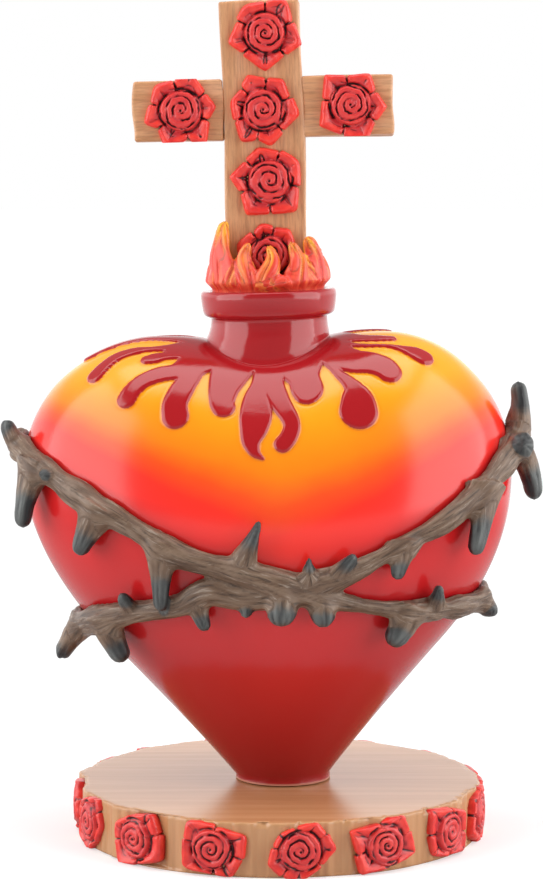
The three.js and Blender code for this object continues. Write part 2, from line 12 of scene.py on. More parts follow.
import bpy
import numpy as np
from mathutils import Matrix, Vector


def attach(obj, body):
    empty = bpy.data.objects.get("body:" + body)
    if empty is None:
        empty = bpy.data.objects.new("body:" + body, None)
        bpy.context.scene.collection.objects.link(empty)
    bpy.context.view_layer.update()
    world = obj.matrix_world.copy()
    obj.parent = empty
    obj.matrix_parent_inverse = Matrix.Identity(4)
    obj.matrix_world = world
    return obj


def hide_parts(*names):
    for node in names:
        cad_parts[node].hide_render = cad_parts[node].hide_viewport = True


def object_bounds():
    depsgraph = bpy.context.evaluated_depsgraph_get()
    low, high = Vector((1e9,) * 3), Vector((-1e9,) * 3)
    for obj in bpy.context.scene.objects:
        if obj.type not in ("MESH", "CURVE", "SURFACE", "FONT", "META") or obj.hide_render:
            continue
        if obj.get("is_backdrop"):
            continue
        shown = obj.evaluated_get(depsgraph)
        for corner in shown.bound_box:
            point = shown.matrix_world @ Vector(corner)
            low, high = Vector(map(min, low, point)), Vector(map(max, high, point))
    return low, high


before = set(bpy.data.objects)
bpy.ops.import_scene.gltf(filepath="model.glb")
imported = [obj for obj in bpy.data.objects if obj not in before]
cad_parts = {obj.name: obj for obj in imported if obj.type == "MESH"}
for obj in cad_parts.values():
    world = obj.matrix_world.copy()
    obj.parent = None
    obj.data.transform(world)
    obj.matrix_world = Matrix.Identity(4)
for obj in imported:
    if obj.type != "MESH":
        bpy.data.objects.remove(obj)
cad_low, cad_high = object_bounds()
print("frame", [round(1000 * v) for v in cad_high - cad_low], "mm")

# %% [markdown]
# ## Sizes
#
# The same sizes as the solids have. The heart, its crown, the flames and the cross were cast as one
# tall group that leans a little to the left, so they share a leaning frame of their own whose
# origin is where the foot's axis meets the plinth's top.

# %% Sizes in millimetres
MM = 0.001
TAU = 2 * math.pi
PLINTH_RADIUS, PLINTH_HEIGHT, PLINTH_WOBBLE = 60.6, 16.0, 0.5
LEAN, FOOT_SHIFT, FOOT_RADIUS, FOOT_SKIRT = math.radians(1.7), 1.1, 14.3, 2.0
HALF_WIDTH, HALF_DEPTH, HEART_HEIGHT, LOBE_SHIFT = 73.5, 43.5, 134.0, -2.0
NECK_FOOT, COLLAR_TOP, COLLAR_HEIGHT, SOCKET_RADIUS, SEAT = 18.6, 147.0, 6.6, 17.1, 145.5
CROSS_HEIGHT, CROSS_SPAN, CROSS_THICKNESS, POST_WIDTH = 89.0, 77.4, 8.0, 23.8
ARM_HEIGHT, ARM_DROP = 18.0, 22.8
STRAND_SEAT = 1.9  # from the heart to the middle of a strand


def upright(points):
    """Leaning frame to the model's frame: turned by the lean about Y, then set on the plinth."""
    x, y, z = np.moveaxis(points, -1, 0)
    c, s = math.cos(LEAN), math.sin(LEAN)
    return np.stack([x * c - z * s + FOOT_SHIFT, y, x * s + z * c + PLINTH_HEIGHT], -1)


print("group's top", round(float(upright(np.array([0, 0, SEAT + CROSS_HEIGHT]))[2]), 1), "mm")


# %% [markdown]
# ## Making a skin from a grid
#
# Nearly every piece is a surface given by two numbers, such as a turn and a height. Its points make
# a grid whose columns close round. Two triangles fill each cell, and a single point closes each
# open end, so that the shell has no holes and its faces point outwards.

# %% Grid to shell
def with_poles(values):
    """A grid's values as one list, and after them the mean of its first row and of its last row,
    which are the values at the two poles of its shell."""
    flat = values.reshape(-1, *values.shape[2:])
    return np.concatenate([flat, values[:1].mean(1), values[-1:].mean(1)])


def shell(grid, ring=False):
    """Points and triangles of a (rows, columns, 3) grid that is closed round. A fan round a pole
    closes each end, or with ring the last row joins the first one, as on a torus."""
    rows, columns = grid.shape[:2]
    ids = np.arange(rows * columns).reshape(rows, columns)
    lower, upper = (ids, np.roll(ids, -1, 0)) if ring else (ids[:-1], ids[1:])
    a, b, c, d = lower, np.roll(lower, -1, 1), np.roll(upper, -1, 1), upper
    triangles = [np.stack([a, b, c], -1).reshape(-1, 3), np.stack([a, c, d], -1).reshape(-1, 3)]
    if ring:
        return grid.reshape(-1, 3), np.concatenate(triangles)
    low_pole, high_pole = (np.full(columns, rows * columns + end) for end in (0, 1))
    triangles.append(np.stack([np.roll(ids[0], -1), ids[0], low_pole], -1))
    triangles.append(np.stack([ids[-1], np.roll(ids[-1], -1), high_pole], -1))
    return with_poles(grid), np.concatenate(triangles)


def gathered(shells):
    """Several shells as one list of points and one list of triangles."""
    counts = np.cumsum([0] + [len(points) for points, _ in shells])
    points = np.concatenate([points for points, _ in shells])
    return points, np.concatenate([tris + first for (_, tris), first in zip(shells, counts)])


print("a 3 by 4 grid makes", len(shell(np.zeros((3, 4, 3)))[1]), "triangles")


def make_piece(name, points, triangles, node, paint, attributes):
    """A smooth-shaded piece from arrays in millimetres, with its paint and the values that the paint
    reads at each point. It rides on the body in place of its solid."""
    mesh = bpy.data.meshes.new(name)
    mesh.from_pydata(points * MM, [], triangles)
    mesh.shade_smooth()
    mesh.materials.append(paint)
    for key, values in attributes.items():
        kind, field = ("FLOAT", "value") if values.ndim == 1 else ("FLOAT_VECTOR", "vector")
        layer = mesh.attributes.new(key, kind, "POINT")
        layer.data.foreach_set(field, values.astype(np.float32).ravel())
    piece = bpy.data.objects.new(name, mesh)
    bpy.context.scene.collection.objects.link(piece)
    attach(piece, "root")
    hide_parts(node)
    print(name, len(triangles), "triangles")


# %% [markdown]
# ## Small uneven forms
#
# A hand-cut model is never quite even. A sum of sine waves in random directions wanders smoothly,
# mostly between -1 and 1, costs little, and comes out the same in every run because it is seeded.

# %% A wandering value
def smooth(value, low, high):
    """0 below low, 1 above high, and 3t^2 - 2t^3 between them."""
    t = np.clip((value - low) / (high - low), 0, 1)
    return t * t * (3 - 2 * t)


def wander(points, size, seed, waves=14):
    """Sum of sines with random directions and phases, whose wavelengths lie round size, over the
    square root of their number."""
    rng = np.random.default_rng(seed)
    ways = rng.normal(size=(waves, points.shape[-1]))
    ways *= (TAU / (size * rng.uniform(0.7, 1.5, waves)) / np.linalg.norm(ways, axis=1))[:, None]
    phases = rng.uniform(0, TAU, waves)
    total = sum(np.sin(points @ way + phase) for way, phase in zip(ways, phases))
    return total / math.sqrt(waves)


print("wander strays to", round(float(np.abs(wander(np.arange(3000.0).reshape(-1, 3), 5.0, 1)).max()), 1))

# %% [markdown]
# ## Paint
#
# Colours are written as the sRGB hex values that a screen shows and turned to linear light by one
# function. One more function adds a shader node: it takes a dictionary of the node's inputs, in
# which a value is set and a socket is linked, and the node's properties, and gives back its output.

# %% Colour and nodes
def linear(code):
    """sRGB hex to linear: c / 12.92 when dark, else ((c + 0.055) / 1.055) ^ 2.4."""
    values = [int(code[i : i + 2], 16) / 255 for i in (1, 3, 5)]
    return tuple(c / 12.92 if c <= 0.04045 else ((c + 0.055) / 1.055) ** 2.4 for c in values) + (1.0,)


def connect(tree, node, inputs):
    """Links each input whose value is a socket and sets the others. A key is an input's name or its
    number, among the inputs that the node's settings leave in use."""
    live = [socket for socket in node.inputs if socket.enabled]
    for key, value in inputs.items():
        socket = live[key] if isinstance(key, int) else next(one for one in live if one.name == key)
        if isinstance(value, bpy.types.NodeSocket):
            tree.links.new(value, socket)
        else:
            socket.default_value = linear(value) if isinstance(value, str) else value


def add(tree, kind, inputs=None, out=None, stops=None, **settings):
    """Adds a shader node with its settings, inputs and colour stops, and gives back the output that
    out names, or else the first one in use."""
    node = tree.nodes.new("ShaderNode" + kind)
    for key, value in settings.items():
        setattr(node, key, value)
    connect(tree, node, inputs or {})
    if stops:
        ramp = node.color_ramp
        while len(ramp.elements) < len(stops):
            ramp.elements.new(0.5)
        for element, (place, code) in zip(ramp.elements, stops):
            element.position, element.color = place, linear(code)
    return node.outputs[out] if out else next(socket for socket in node.outputs if socket.enabled)


def new_paint(name):
    """An empty material, its node tree and its shader."""
    paint = bpy.data.materials.new(name)
    paint.use_nodes = True
    return paint, paint.node_tree, paint.node_tree.nodes["Principled BSDF"]


print("mid grey is", round(linear("#808080")[0], 3), "in linear light")

# %% [markdown]
# ## The heart's surface
#
# The body is a blend of two outlines: the side profile with the high lobes, and the flatter front
# profile that dips between them. It could be sculpted, but two chains of cubic curves blended
# round the upright axis give the same smooth form everywhere and can be asked for any point.

# %% Profiles
SIDE = np.array([
    (FOOT_RADIUS, FOOT_SKIRT), (0.332 * HALF_WIDTH, 0.11 * HEART_HEIGHT),
    (0.486 * HALF_WIDTH, 0.204 * HEART_HEIGHT), (0.643 * HALF_WIDTH, 0.299 * HEART_HEIGHT),
    (0.762 * HALF_WIDTH, 0.367 * HEART_HEIGHT), (HALF_WIDTH, 0.518 * HEART_HEIGHT),
    (HALF_WIDTH, 0.709 * HEART_HEIGHT), (HALF_WIDTH, 0.883 * HEART_HEIGHT),
    (0.73 * HALF_WIDTH, 1.01 * HEART_HEIGHT), (0.449 * HALF_WIDTH, 1.01 * HEART_HEIGHT),
    (0.36 * HALF_WIDTH, 1.01 * HEART_HEIGHT), (1.13 * NECK_FOOT, 1.005 * HEART_HEIGHT),
    (NECK_FOOT, HEART_HEIGHT)])
FACE = np.array([
    (FOOT_RADIUS, FOOT_SKIRT), (0.48 * HALF_DEPTH, 0.104 * HEART_HEIGHT),
    (0.64 * HALF_DEPTH, 0.194 * HEART_HEIGHT), (0.77 * HALF_DEPTH, 0.284 * HEART_HEIGHT),
    (0.908 * HALF_DEPTH, 0.381 * HEART_HEIGHT), (HALF_DEPTH, 0.493 * HEART_HEIGHT),
    (HALF_DEPTH, 0.597 * HEART_HEIGHT), (HALF_DEPTH, 0.694 * HEART_HEIGHT),
    (0.89 * HALF_DEPTH, 0.788 * HEART_HEIGHT), (0.72 * HALF_DEPTH, 0.853 * HEART_HEIGHT),
    (0.627 * HALF_DEPTH, 0.889 * HEART_HEIGHT), (1.23 * NECK_FOOT, 0.928 * HEART_HEIGHT),
    (NECK_FOOT, 0.947 * HEART_HEIGHT)])
TOP_LEVEL = len(SIDE) // 3  # levels count the cubic curves, from 0 at the foot to 4 at the neck
print("profiles of", TOP_LEVEL, "curves each")


# %% Points and normals
def on_curve(corners, level):
    """(1-t)^3 A + 3 (1-t)^2 t B + 3 (1-t) t^2 C + t^3 D, where the level's whole part picks the curve."""
    part = np.clip(np.floor(level).astype(int), 0, len(corners) // 3 - 1)
    t = (level - part)[..., None]
    a, b, c, d = (corners[3 * part + i] for i in range(4))
    return (1 - t) ** 3 * a + 3 * (1 - t) ** 2 * t * b + 3 * (1 - t) * t**2 * c + t**3 * d


def leftward(height):
    """How far the axis moves over: the lobes' shift, which rises with height and fades at the neck."""
    rise = smooth(height, 0.34 * HEART_HEIGHT, 0.78 * HEART_HEIGHT)
    return LOBE_SHIFT * rise * (1 - smooth(height, 0.9 * HEART_HEIGHT, COLLAR_TOP - COLLAR_HEIGHT))


def on_heart(angle, level):
    """Height is side * cos^2 + face * sin^2, and the radii are the side's across, the face's along."""
    angle, level = np.broadcast_arrays(angle, level)
    side, face = on_curve(SIDE, level), on_curve(FACE, level)
    c, s = np.cos(angle), np.sin(angle)
    height = side[..., 1] * c * c + face[..., 1] * s * s
    return np.stack([side[..., 0] * c + leftward(height), face[..., 0] * s, height], -1)


def heart_normal(angle, level, step=0.01):
    """Cross product of the steps round and up the surface."""
    low, high = np.maximum(level - step, 0), np.minimum(level + step, TOP_LEVEL)
    across = on_heart(angle + step, level) - on_heart(angle - step, level)
    normal = np.cross(across, on_heart(angle, high) - on_heart(angle, low))
    return normal / np.linalg.norm(normal, axis=-1, keepdims=True)


print("front at level 2", on_heart(np.array([-math.pi / 2]), np.array([2.0])).round(1)[0], "mm")

# %% Walking the surface
WALK = np.linspace(TOP_LEVEL, 0, 1201)


def reaches(angle):
    """Distance walked down the surface from the neck, at each level of WALK, one row per angle."""
    path = on_heart(np.atleast_1d(angle)[:, None], WALK[None])
    steps = np.linalg.norm(np.diff(path, axis=1), axis=-1)
    return np.concatenate([np.zeros((len(steps), 1)), np.cumsum(steps, 1)], 1)


def level_at_reach(angle, reach):
    """The level at a walked distance: each angle's table is read backwards."""
    return np.array([np.interp(r, row, WALK) for r, row in zip(reach, reaches(angle))])


def level_at_height(angle, height):
    """The level on the cone and belly at a height: each angle's heights are read backwards."""
    low = WALK[WALK <= 2.7][::-1]  # over this level the height no longer rises all round
    heights = on_heart(np.atleast_1d(angle)[:, None], low[None])[..., 2]
    return np.array([np.interp(h, row, low) for h, row in zip(np.atleast_1d(height), heights)])


def angle_of(turn):
    """Turns are degrees from the front, positive to the right; angles are radians from +X."""
    return np.radians(np.asarray(turn, float) - 90)


print("girth at the belly", round(2 * on_heart(np.array([0.0]), np.array([2.0]))[0, 0]), "mm")

# %% [markdown]
# ## The dripping glaze
#
# Thick red paint was poured round the neck and ran down the shoulders in flame-like drips with
# rounded ends. Each drip is a row of stops: turn, distance walked from the neck, half width. The
# signed distance to the nearest drip, less than nothing inside it, then gives both the raised,
# round-edged layer and the sharp line between the two paints, which no brushed mask would keep.

# %% Drips
DRIPS = [
    [(-75, 0, 5), (-82, 11, 2.6), (-86, 22, 2.2), (-88, 36, 2.2)],
    [(-66, 0, 5), (-69, 15.5, 1.5), (-71.5, 22.5, 1.9), (-72, 28, 2.3), (-70, 32.5, 2.5), (-67.5, 36.5, 2.7)],
    [(-60, 0, 8), (-63, 10, 4), (-62, 15, 2), (-62, 18.5, 2.3), (-62.5, 21, 1.8)],
    [(-52, 0, 8), (-50, 10, 5), (-50, 16, 3.2), (-51.5, 20.5, 3), (-52, 25.5, 2.8), (-51, 30, 2.9),
     (-49.5, 33, 3)],
    [(-50, 2, 6), (-47, 10, 3.8), (-43, 15, 3.2), (-39.5, 19.5, 3.6), (-36, 24.5, 3.8), (-32.5, 27.5, 4)],
    [(-28, 0, 7), (-26.5, 7, 5.6), (-25, 12, 4.5), (-22.5, 16.5, 3.7), (-20.5, 18, 3.5)],
    [(-1, 0, 3), (-2, 7, 3), (-5, 12.5, 3.6), (-4.5, 18, 4.7), (-4.5, 22.5, 4.2), (-5, 27, 2.8),
     (-3.5, 30.5, 1.6), (-1, 32.5, 0.5)],
    [(6, 3, 4), (7, 7.5, 3), (8, 13, 3.2), (10.5, 18.5, 2.8), (10.5, 23, 2.5), (8, 26.5, 2.6),
     (5.5, 28.5, 2.6)],
    [(30, 0, 8), (27.5, 5, 6), (27, 8.5, 4.8), (25.5, 12.5, 4.8), (24, 14, 4)],
    [(50, 2, 4), (44.5, 10, 1.6), (42, 16, 1.9), (39.5, 21, 3), (36.5, 24.5, 4.8), (33.5, 27.5, 5.7)],
    [(56, 0, 7), (53, 8, 5.4), (53, 13, 5), (54.5, 18, 4.4), (54.5, 22, 4.2), (53.5, 24.5, 3.8)],
    [(64, 0, 6), (64, 8, 1.6), (65.5, 14, 0.9), (67.5, 20, 0.9), (68, 24.5, 1.8), (68.5, 28, 2.9),
     (68.5, 30.5, 3.1)],
    [(76, 0, 6), (73, 9, 2.6), (73.5, 16, 1.8), (74.5, 19.5, 1.4)],
    [(102, 0, 7), (100, 9, 3.4), (102, 17, 3)], [(128, 0, 6), (130, 12, 3), (127, 25, 3.4)],
    [(152, 0, 7), (153, 8, 3.6), (156, 16, 3.2)], [(180, 0, 6), (180, 14, 3.2), (178, 27, 3.6)],
    [(206, 0, 7), (208, 8, 3.4), (205, 17, 3.2)], [(232, 0, 6), (230, 13, 3), (233, 26, 3.4)],
    [(258, 0, 7), (259, 9, 3.4), (257, 17, 3)]]
GLAZE_RELIEF = 0.75  # mm
GLAZE_APRON = 3.2  # mm from the neck that the glaze covers all round
print("drips", len(DRIPS))


# %% Distance to the glaze
def eased(stops, count):
    """Catmull-Rom curve through the stops: each span leaves and arrives along its neighbours."""
    stops = np.asarray(stops, float)
    padded = np.concatenate([2 * stops[:1] - stops[1:2], stops, 2 * stops[-1:] - stops[-2:-1]])
    place = np.linspace(0, len(stops) - 1, count)
    span = np.minimum(place.astype(int), len(stops) - 2)
    t = (place - span)[:, None]
    p, q, r, s = (padded[span + i] for i in range(4))
    return 0.5 * (2 * q + (r - p) * t + (2 * p - 5 * q + 4 * r - s) * t**2 + (3 * q - p - 3 * r + s) * t**3)


def to_path(points, path, width):
    """Least, over the path's segments, of the distance to the segment less its half width there."""
    a, ab = path[:-1], np.diff(path, axis=0)
    best = np.full(len(points), 99.0)
    for start, way, w0, w1 in zip(a, ab, width[:-1], width[1:]):
        t = np.clip((points - start) @ way / max(way @ way, 1e-9), 0, 1)
        gap = np.linalg.norm(points - start - t[:, None] * way, axis=1) - (w0 + t * (w1 - w0))
        np.minimum(best, gap, out=best)
    return best


def glaze_distance(points, reach):
    """Smallest signed distance to the apron and to every drip, with a soft minimum that fills the
    0.6 mm where two of them meet."""
    apart = reach.ravel() - GLAZE_APRON
    flat = points.reshape(-1, 3)
    for stops in DRIPS:
        turn, away, width = eased(stops, 6 * len(stops)).T
        angle = angle_of(turn)
        path = on_heart(angle, level_at_reach(angle, np.maximum(away, 0)))
        gap = to_path(flat, path, np.maximum(width, 0.3))
        blend = np.maximum(0.6 - np.abs(apart - gap), 0) / 0.6
        apart = np.minimum(apart, gap) - 0.15 * blend**2
    return apart.reshape(reach.shape)


# %% [markdown]
# ## The heart's skin
#
# Rows run down the surface: close together over the shoulders where the drips need them, wider
# over the plain belly. Columns are closer in front than behind. The glaze lifts the surface by
# its thickness with a quarter-round edge, and the neck, collar and socket are turned like a
# bottle's mouth.

# %% Heart grid
COLUMNS = 440
SHOULDER, SHOULDER_ROWS, BELLY_ROWS = 46, 109, 61  # mm walked from the neck with close rows
spin = np.linspace(-math.pi, math.pi, COLUMNS, endpoint=False)
column_angle = spin - 0.32 * np.sin(spin) - math.pi / 2  # closer columns at the front
tables = reaches(column_angle)
close = np.broadcast_to(np.linspace(0, SHOULDER, SHOULDER_ROWS), (COLUMNS, SHOULDER_ROWS))
wider = SHOULDER + np.linspace(0, 1, BELLY_ROWS + 1)[1:] * (tables[:, -1:] - SHOULDER)
walked = np.concatenate([close, wider], 1)
levels = np.array([np.interp(reach, row, WALK) for reach, row in zip(walked, tables)])
skin_points = on_heart(column_angle[:, None], levels)
normals = heart_normal(column_angle[:, None], levels)

glaze = np.full(levels.shape, 4.0)
glaze[:, :SHOULDER_ROWS] = glaze_distance(skin_points[:, :SHOULDER_ROWS], close)
inside = np.clip(-glaze / 0.9, 0, 1)
edge_line = np.exp(-(((glaze - 0.3) / 0.25) ** 2))  # a fine cut just outside the glaze
lift = GLAZE_RELIEF * np.sqrt(1 - (1 - inside) ** 2) - 0.07 * edge_line
skin_points = skin_points + normals * lift[..., None]
print("glaze covers", round(100 * (glaze[:, :SHOULDER_ROWS] < 0).mean()), "% of the shoulders")

# %% Neck, collar, socket and foot
BOTTLE = np.array([  # radius, and height over the heart's top
    (18.2, 1.6), (17.75, 3.4), (17.5, 4.8), (17.4, 6.2), (17.6, 6.8), (18.6, 7.2), (19.4, 7.8), (19.75, 8.8),
    (20.0, 10.2), (20.2, 11.8), (20.3, 13.0), (20.2, 14.2), (19.7, 14.8), (18.9, 14.95),
    (18.0, 14.9), (17.4, 14.7), (17.1, 14.2), (17.1, 12.9), (17.1, 11.6), (9.0, 11.2), (3.0, 11.2)])
FLOOR_POINTS = 2
bottle = np.concatenate([eased(BOTTLE[:-FLOOR_POINTS], 40), BOTTLE[-FLOOR_POINTS:]])
wide, height = bottle[:, 0], HEART_HEIGHT + bottle[:, 1]
c, s = np.cos(column_angle)[:, None], np.sin(column_angle)[:, None]
mouth = np.stack(np.broadcast_arrays(wide * c + leftward(height), wide * s, height), -1)
blend = np.array([0.3, 0.62, 0.85])  # the first rows sweep from the shoulder up to the neck
rim = skin_points[:, :1]
sweep = rim + (mouth[:, :1] - rim) * np.stack([blend**1.8, blend**1.8, blend], -1)[None]
foot_ring = on_heart(column_angle, np.zeros(COLUMNS))
ground = (0.3 - foot_ring[:, 0] * math.sin(LEAN)) / math.cos(LEAN)  # 0.3 mm over the plinth's top
skirt = np.stack([np.stack([foot_ring[:, 0] * share, foot_ring[:, 1] * share, ground + over], -1)
                  for share, over in ((1.0, 1.0), (1.0, 0.5), (1.005, 0.12), (0.99, 0.0), (0.5, 0.0))], 1)
columns = np.concatenate([mouth[:, ::-1], sweep[:, ::-1], skin_points, skirt], 1)
grid = np.swapaxes(columns, 0, 1)[::-1]
heart_points, heart_triangles = shell(grid)
print("rows", grid.shape[0], "points", len(heart_points))

# %% [markdown]
# ## The strands of the crown
#
# Two thorny strands lie round the heart, crossing at the front. Their height round the heart is a
# short sum of cosines, and they are thick in some stretches and thin in others.

# %% Strand heights
STRANDS = [(0.547, -0.184, 0.05, 0.001), (0.523, 0.16, 0.047, 0.026)]
BENDS = [[(-21, 8, -2.0)], [(-16, 6, 3.2), (31, 8, 1.6)]]  # turn, width in turn, and rise in mm
GIRTHS = [  # turn and half width, mm
    [(-180, 2.9), (-100, 3.2), (-85, 3.5), (-60, 3.4), (-45, 3.7), (-34, 3.2), (-25, 3.6), (-14, 3.4),
     (-8, 4.0), (2, 4.8), (12, 3.8), (22, 2.1), (31, 2.3), (45, 3.3), (62, 3.1), (82, 3.5), (180, 2.9)],
    [(-180, 2.9), (-100, 3.4), (-85, 4.0), (-70, 3.9), (-55, 4.2), (-42, 3.2), (-30, 3.0), (-20, 3.8),
     (-8, 3.6), (8, 4.2), (14, 3.6), (24, 2.3), (34, 2.7), (50, 3.4), (60, 3.1), (72, 3.8), (88, 3.9),
     (180, 2.9)]]


def turn_of(angle):
    """Degrees from the front, between -180 and 180, of an angle in radians."""
    return (np.degrees(angle) + 90 + 180) % 360 - 180


def strand_height(which, angle):
    """Mean, tilt, sag and skew as shares of the heart's height, times 1, cos, cos 2 and cos 3 of the
    angle, and the small local bends."""
    mean, tilt, sag, skew = STRANDS[which]
    level = HEART_HEIGHT * (mean + tilt * np.cos(angle) + sag * np.cos(2 * angle) + skew * np.cos(3 * angle))
    turn = turn_of(angle)
    return level + sum(rise * np.exp(-(((turn - at) / wide) ** 2)) for at, wide, rise in BENDS[which])


print("strands in front", [round(float(strand_height(which, angle_of(0.0)))) for which in (0, 1)], "mm high")


# %% Places along a strand
def off_heart(angle, height, away):
    """The point of the heart at this angle and height, moved away along the normal."""
    level = level_at_height(angle, height)
    return on_heart(angle, level) + np.asarray(away).reshape(-1, 1) * heart_normal(angle, level)


def unit(vectors):
    return vectors / np.linalg.norm(vectors, axis=-1, keepdims=True)


def strand_frame(which, angle, away=STRAND_SEAT):
    """The strand's middle and its three directions: forward round the heart, outward, upward."""
    middle, ahead = (off_heart(a, strand_height(which, a), away) for a in (angle, angle + 0.01))
    forward = unit(ahead - middle)
    outward = heart_normal(angle, level_at_height(angle, strand_height(which, angle)))
    upward = unit(np.cross(forward, outward))
    return middle, forward, unit(np.cross(upward, forward)), upward


front = strand_frame(0, angle_of([0.0]))[0][0]
print("first strand at the front, height", round(float(front[2])), "mm")

# %% [markdown]
# ## The heart's paint
#
# The body was airbrushed over cast resin: orange-yellow on the shoulders, through orange to red,
# and dark red at the foot, with the change lying higher at the sides than in the middle. A darker
# red is painted along the thorns as painted shadow of the strands on the heart. A clear gloss went
# over it. The glaze is a thicker, glossier red enamel. Both changes are worked out per point, since
# they follow the form and not a pattern.

# %% Paint masks on the heart
sideways = np.clip((np.hypot(grid[..., 0] - 3, 6) - 6) / 64, 0, 1)
over = grid[..., 2] - (91 + 26 * sideways)  # mm over the line where orange turns to red
warmth = 0.68 + (np.maximum(over, -8) / (1 - 0.5 * sideways) + np.minimum(over + 8, 0)) / HEART_HEIGHT

# Painted shadow of the strands on the heart: darker red beside each strand, reaching further below it than
# above it.
strand_shadow = np.zeros(walked.shape)
for which in (0, 1):
    level = level_at_height(column_angle, strand_height(which, column_angle))
    strand_reach = np.array([np.interp(-one, -WALK, row) for one, row in zip(level, tables)])
    below = walked - strand_reach[:, None]
    strand_shadow = np.maximum(strand_shadow, np.exp(-((np.abs(below) / np.where(below > 0, 6.5, 5.0)) ** 2)))


def whole_grid(body, above, under):
    """The body's values as those of the whole grid, from the foot up: above fills the mouth and the
    sweep, and under the skirt."""
    bottle_rows = np.full((COLUMNS, mouth.shape[1] + sweep.shape[1]), above)
    return np.concatenate([bottle_rows, body, np.broadcast_to(under, (COLUMNS, skirt.shape[1]))], 1).T[::-1]


masks = {"warmth": warmth, "glaze": whole_grid(glaze, -4.0, 4.0), "strand_shadow": whole_grid(strand_shadow, 0.0, strand_shadow[:, -1:])}
print("warmth from", round(float(warmth.min()), 2), "to", round(float(warmth.max()), 2))

# %% Airbrushed lacquer and glaze
# Gloss lacquer gives the eye a soft change of colour under a sharp, slightly rippled reflection.
lacquer, tree, shader = new_paint("airbrushed_gloss_lacquer_on_cast_resin")
place = add(tree, "TexCoord", out="Object")
warm = add(tree, "Attribute", out="Fac", attribute_name="warmth")
edge = add(tree, "Attribute", out="Fac", attribute_name="glaze")
painted_strand_shadow = add(tree, "Attribute", out="Fac", attribute_name="strand_shadow")
cloud = add(tree, "TexNoise", {"Vector": place, "Scale": 45.0, "Detail": 3.0})
uneven = add(tree, "Math", {0: cloud, 1: 0.05, 2: -0.025}, operation="MULTIPLY_ADD")
shifted = add(tree, "Math", {0: warm, 1: uneven}, operation="ADD")
body = add(tree, "ValToRGB", {"Fac": shifted}, stops=[
    (0.0, "#98171A"), (0.2, "#B01B1E"), (0.4, "#D02123"), (0.52, "#F02722"), (0.6, "#FA2C1B"),
    (0.66, "#F54E16"), (0.73, "#F07E12"), (0.85, "#F39C12"), (1.0, "#F5A816")])
# Painted shadow of the strands: a darker red mixed in along them.
share = add(tree, "Math", {0: painted_strand_shadow, 1: 0.75}, operation="MULTIPLY")
body = add(tree, "Mix", {"Factor": share, "A": body, "B": "#B81A20"}, data_type="RGBA")
print("lacquer", len(tree.nodes), "nodes")

# %% Painted crease shade, enamel and seam over the lacquer
# Painted shade: a darker orange-brown in the fine cut just outside the glaze's edge.
line = add(tree, "MapRange", {"Value": edge, "From Min": 0.5, "From Max": 0.05},
           interpolation_type="SMOOTHSTEP")
share = add(tree, "Math", {0: line, 1: 0.35}, operation="MULTIPLY")
crease_shaded = add(tree, "Mix", {"Factor": share, "A": body, "B": "#B0451C"}, data_type="RGBA")
enamel = add(tree, "Mix", {"Factor": cloud, "A": "#9C161C", "B": "#A61B20"}, data_type="RGBA")
painted = add(tree, "MapRange", {"Value": edge, "From Min": 0.08, "From Max": -0.08})
dressed = add(tree, "Mix", {"Factor": painted, "A": crease_shaded, "B": enamel}, data_type="RGBA")
height = add(tree, "SeparateXYZ", {0: place}, out="Z")
seam = add(tree, "MapRange", {  # a pale line 0.6 mm wide where the foot stands on the plinth
    "Value": height, "From Min": MM * (PLINTH_HEIGHT + 1.1), "From Max": MM * (PLINTH_HEIGHT + 0.5),
    "To Max": 0.8})
dressed = add(tree, "Mix", {"Factor": seam, "A": dressed, "B": "#D49A80"}, data_type="RGBA")
peel = add(tree, "TexNoise", {"Vector": place, "Scale": 900.0, "Detail": 2.0})  # 1 mm orange peel
connect(tree, shader, {
    "Base Color": dressed,
    "Roughness": add(tree, "MapRange", {"Value": painted, "To Min": 0.19, "To Max": 0.12}),
    "Normal": add(tree, "Bump", {"Height": peel, "Strength": 0.05, "Distance": 0.0003}),
    "IOR": 1.5})
make_piece("heart_body", upright(heart_points), heart_triangles, "heart", lacquer,
           {key: with_poles(values) for key, values in masks.items()})

# %% [markdown]
# ## Fusing tubes into one cast form
#
# Strands with their thorns, and flames with their tongues, flow into each other as modelled putty
# does. So each is first a heap of overlapping tubes, and a voxel remesh takes one skin round the
# heap. The skin is relaxed a little, and fine grooves are then pressed in along the flow.

# %% Tube and fusing
def tube(middle, upward, outward, half_up, half_out, sides=28, floor=None):
    """Ellipse of the two half widths carried along the path, flattened at floor below its middle."""
    roll = np.linspace(0, TAU, sides, endpoint=False)
    up, out = half_up[:, None] * np.sin(roll), half_out[:, None] * np.cos(roll)
    if floor is not None:
        out = np.maximum(out, -floor)
    return middle[:, None] + up[..., None] * upward[:, None] + out[..., None] * outward[:, None]


def fused(shells, voxel):
    """One skin round overlapping closed shells, from a voxel remesh, as points and triangles."""
    points, triangles = gathered(shells)
    mesh = bpy.data.meshes.new("heap")
    mesh.from_pydata(points, [], triangles)
    heap = bpy.data.objects.new("heap", mesh)
    bpy.context.scene.collection.objects.link(heap)
    remesh = heap.modifiers.new("skin", "REMESH")
    remesh.mode, remesh.voxel_size, remesh.adaptivity = "VOXEL", voxel, 0.0
    done = bpy.data.meshes.new_from_object(heap.evaluated_get(bpy.context.evaluated_depsgraph_get()))
    done.calc_loop_triangles()
    found = np.empty(3 * len(done.vertices))
    corners = np.empty(3 * len(done.loop_triangles), dtype=np.int32)
    done.vertices.foreach_get("co", found)
    done.loop_triangles.foreach_get("vertices", corners)
    bpy.data.objects.remove(heap)
    bpy.data.meshes.remove(mesh)
    bpy.data.meshes.remove(done)
    return found.reshape(-1, 3), corners.reshape(-1, 3)


# %% Relaxing, and places along the flow
def point_sums(count, ids, values):
    """Adds values, one row per id, onto count points."""
    return np.stack([np.bincount(ids, values[:, k], count) for k in range(values.shape[1])], -1)


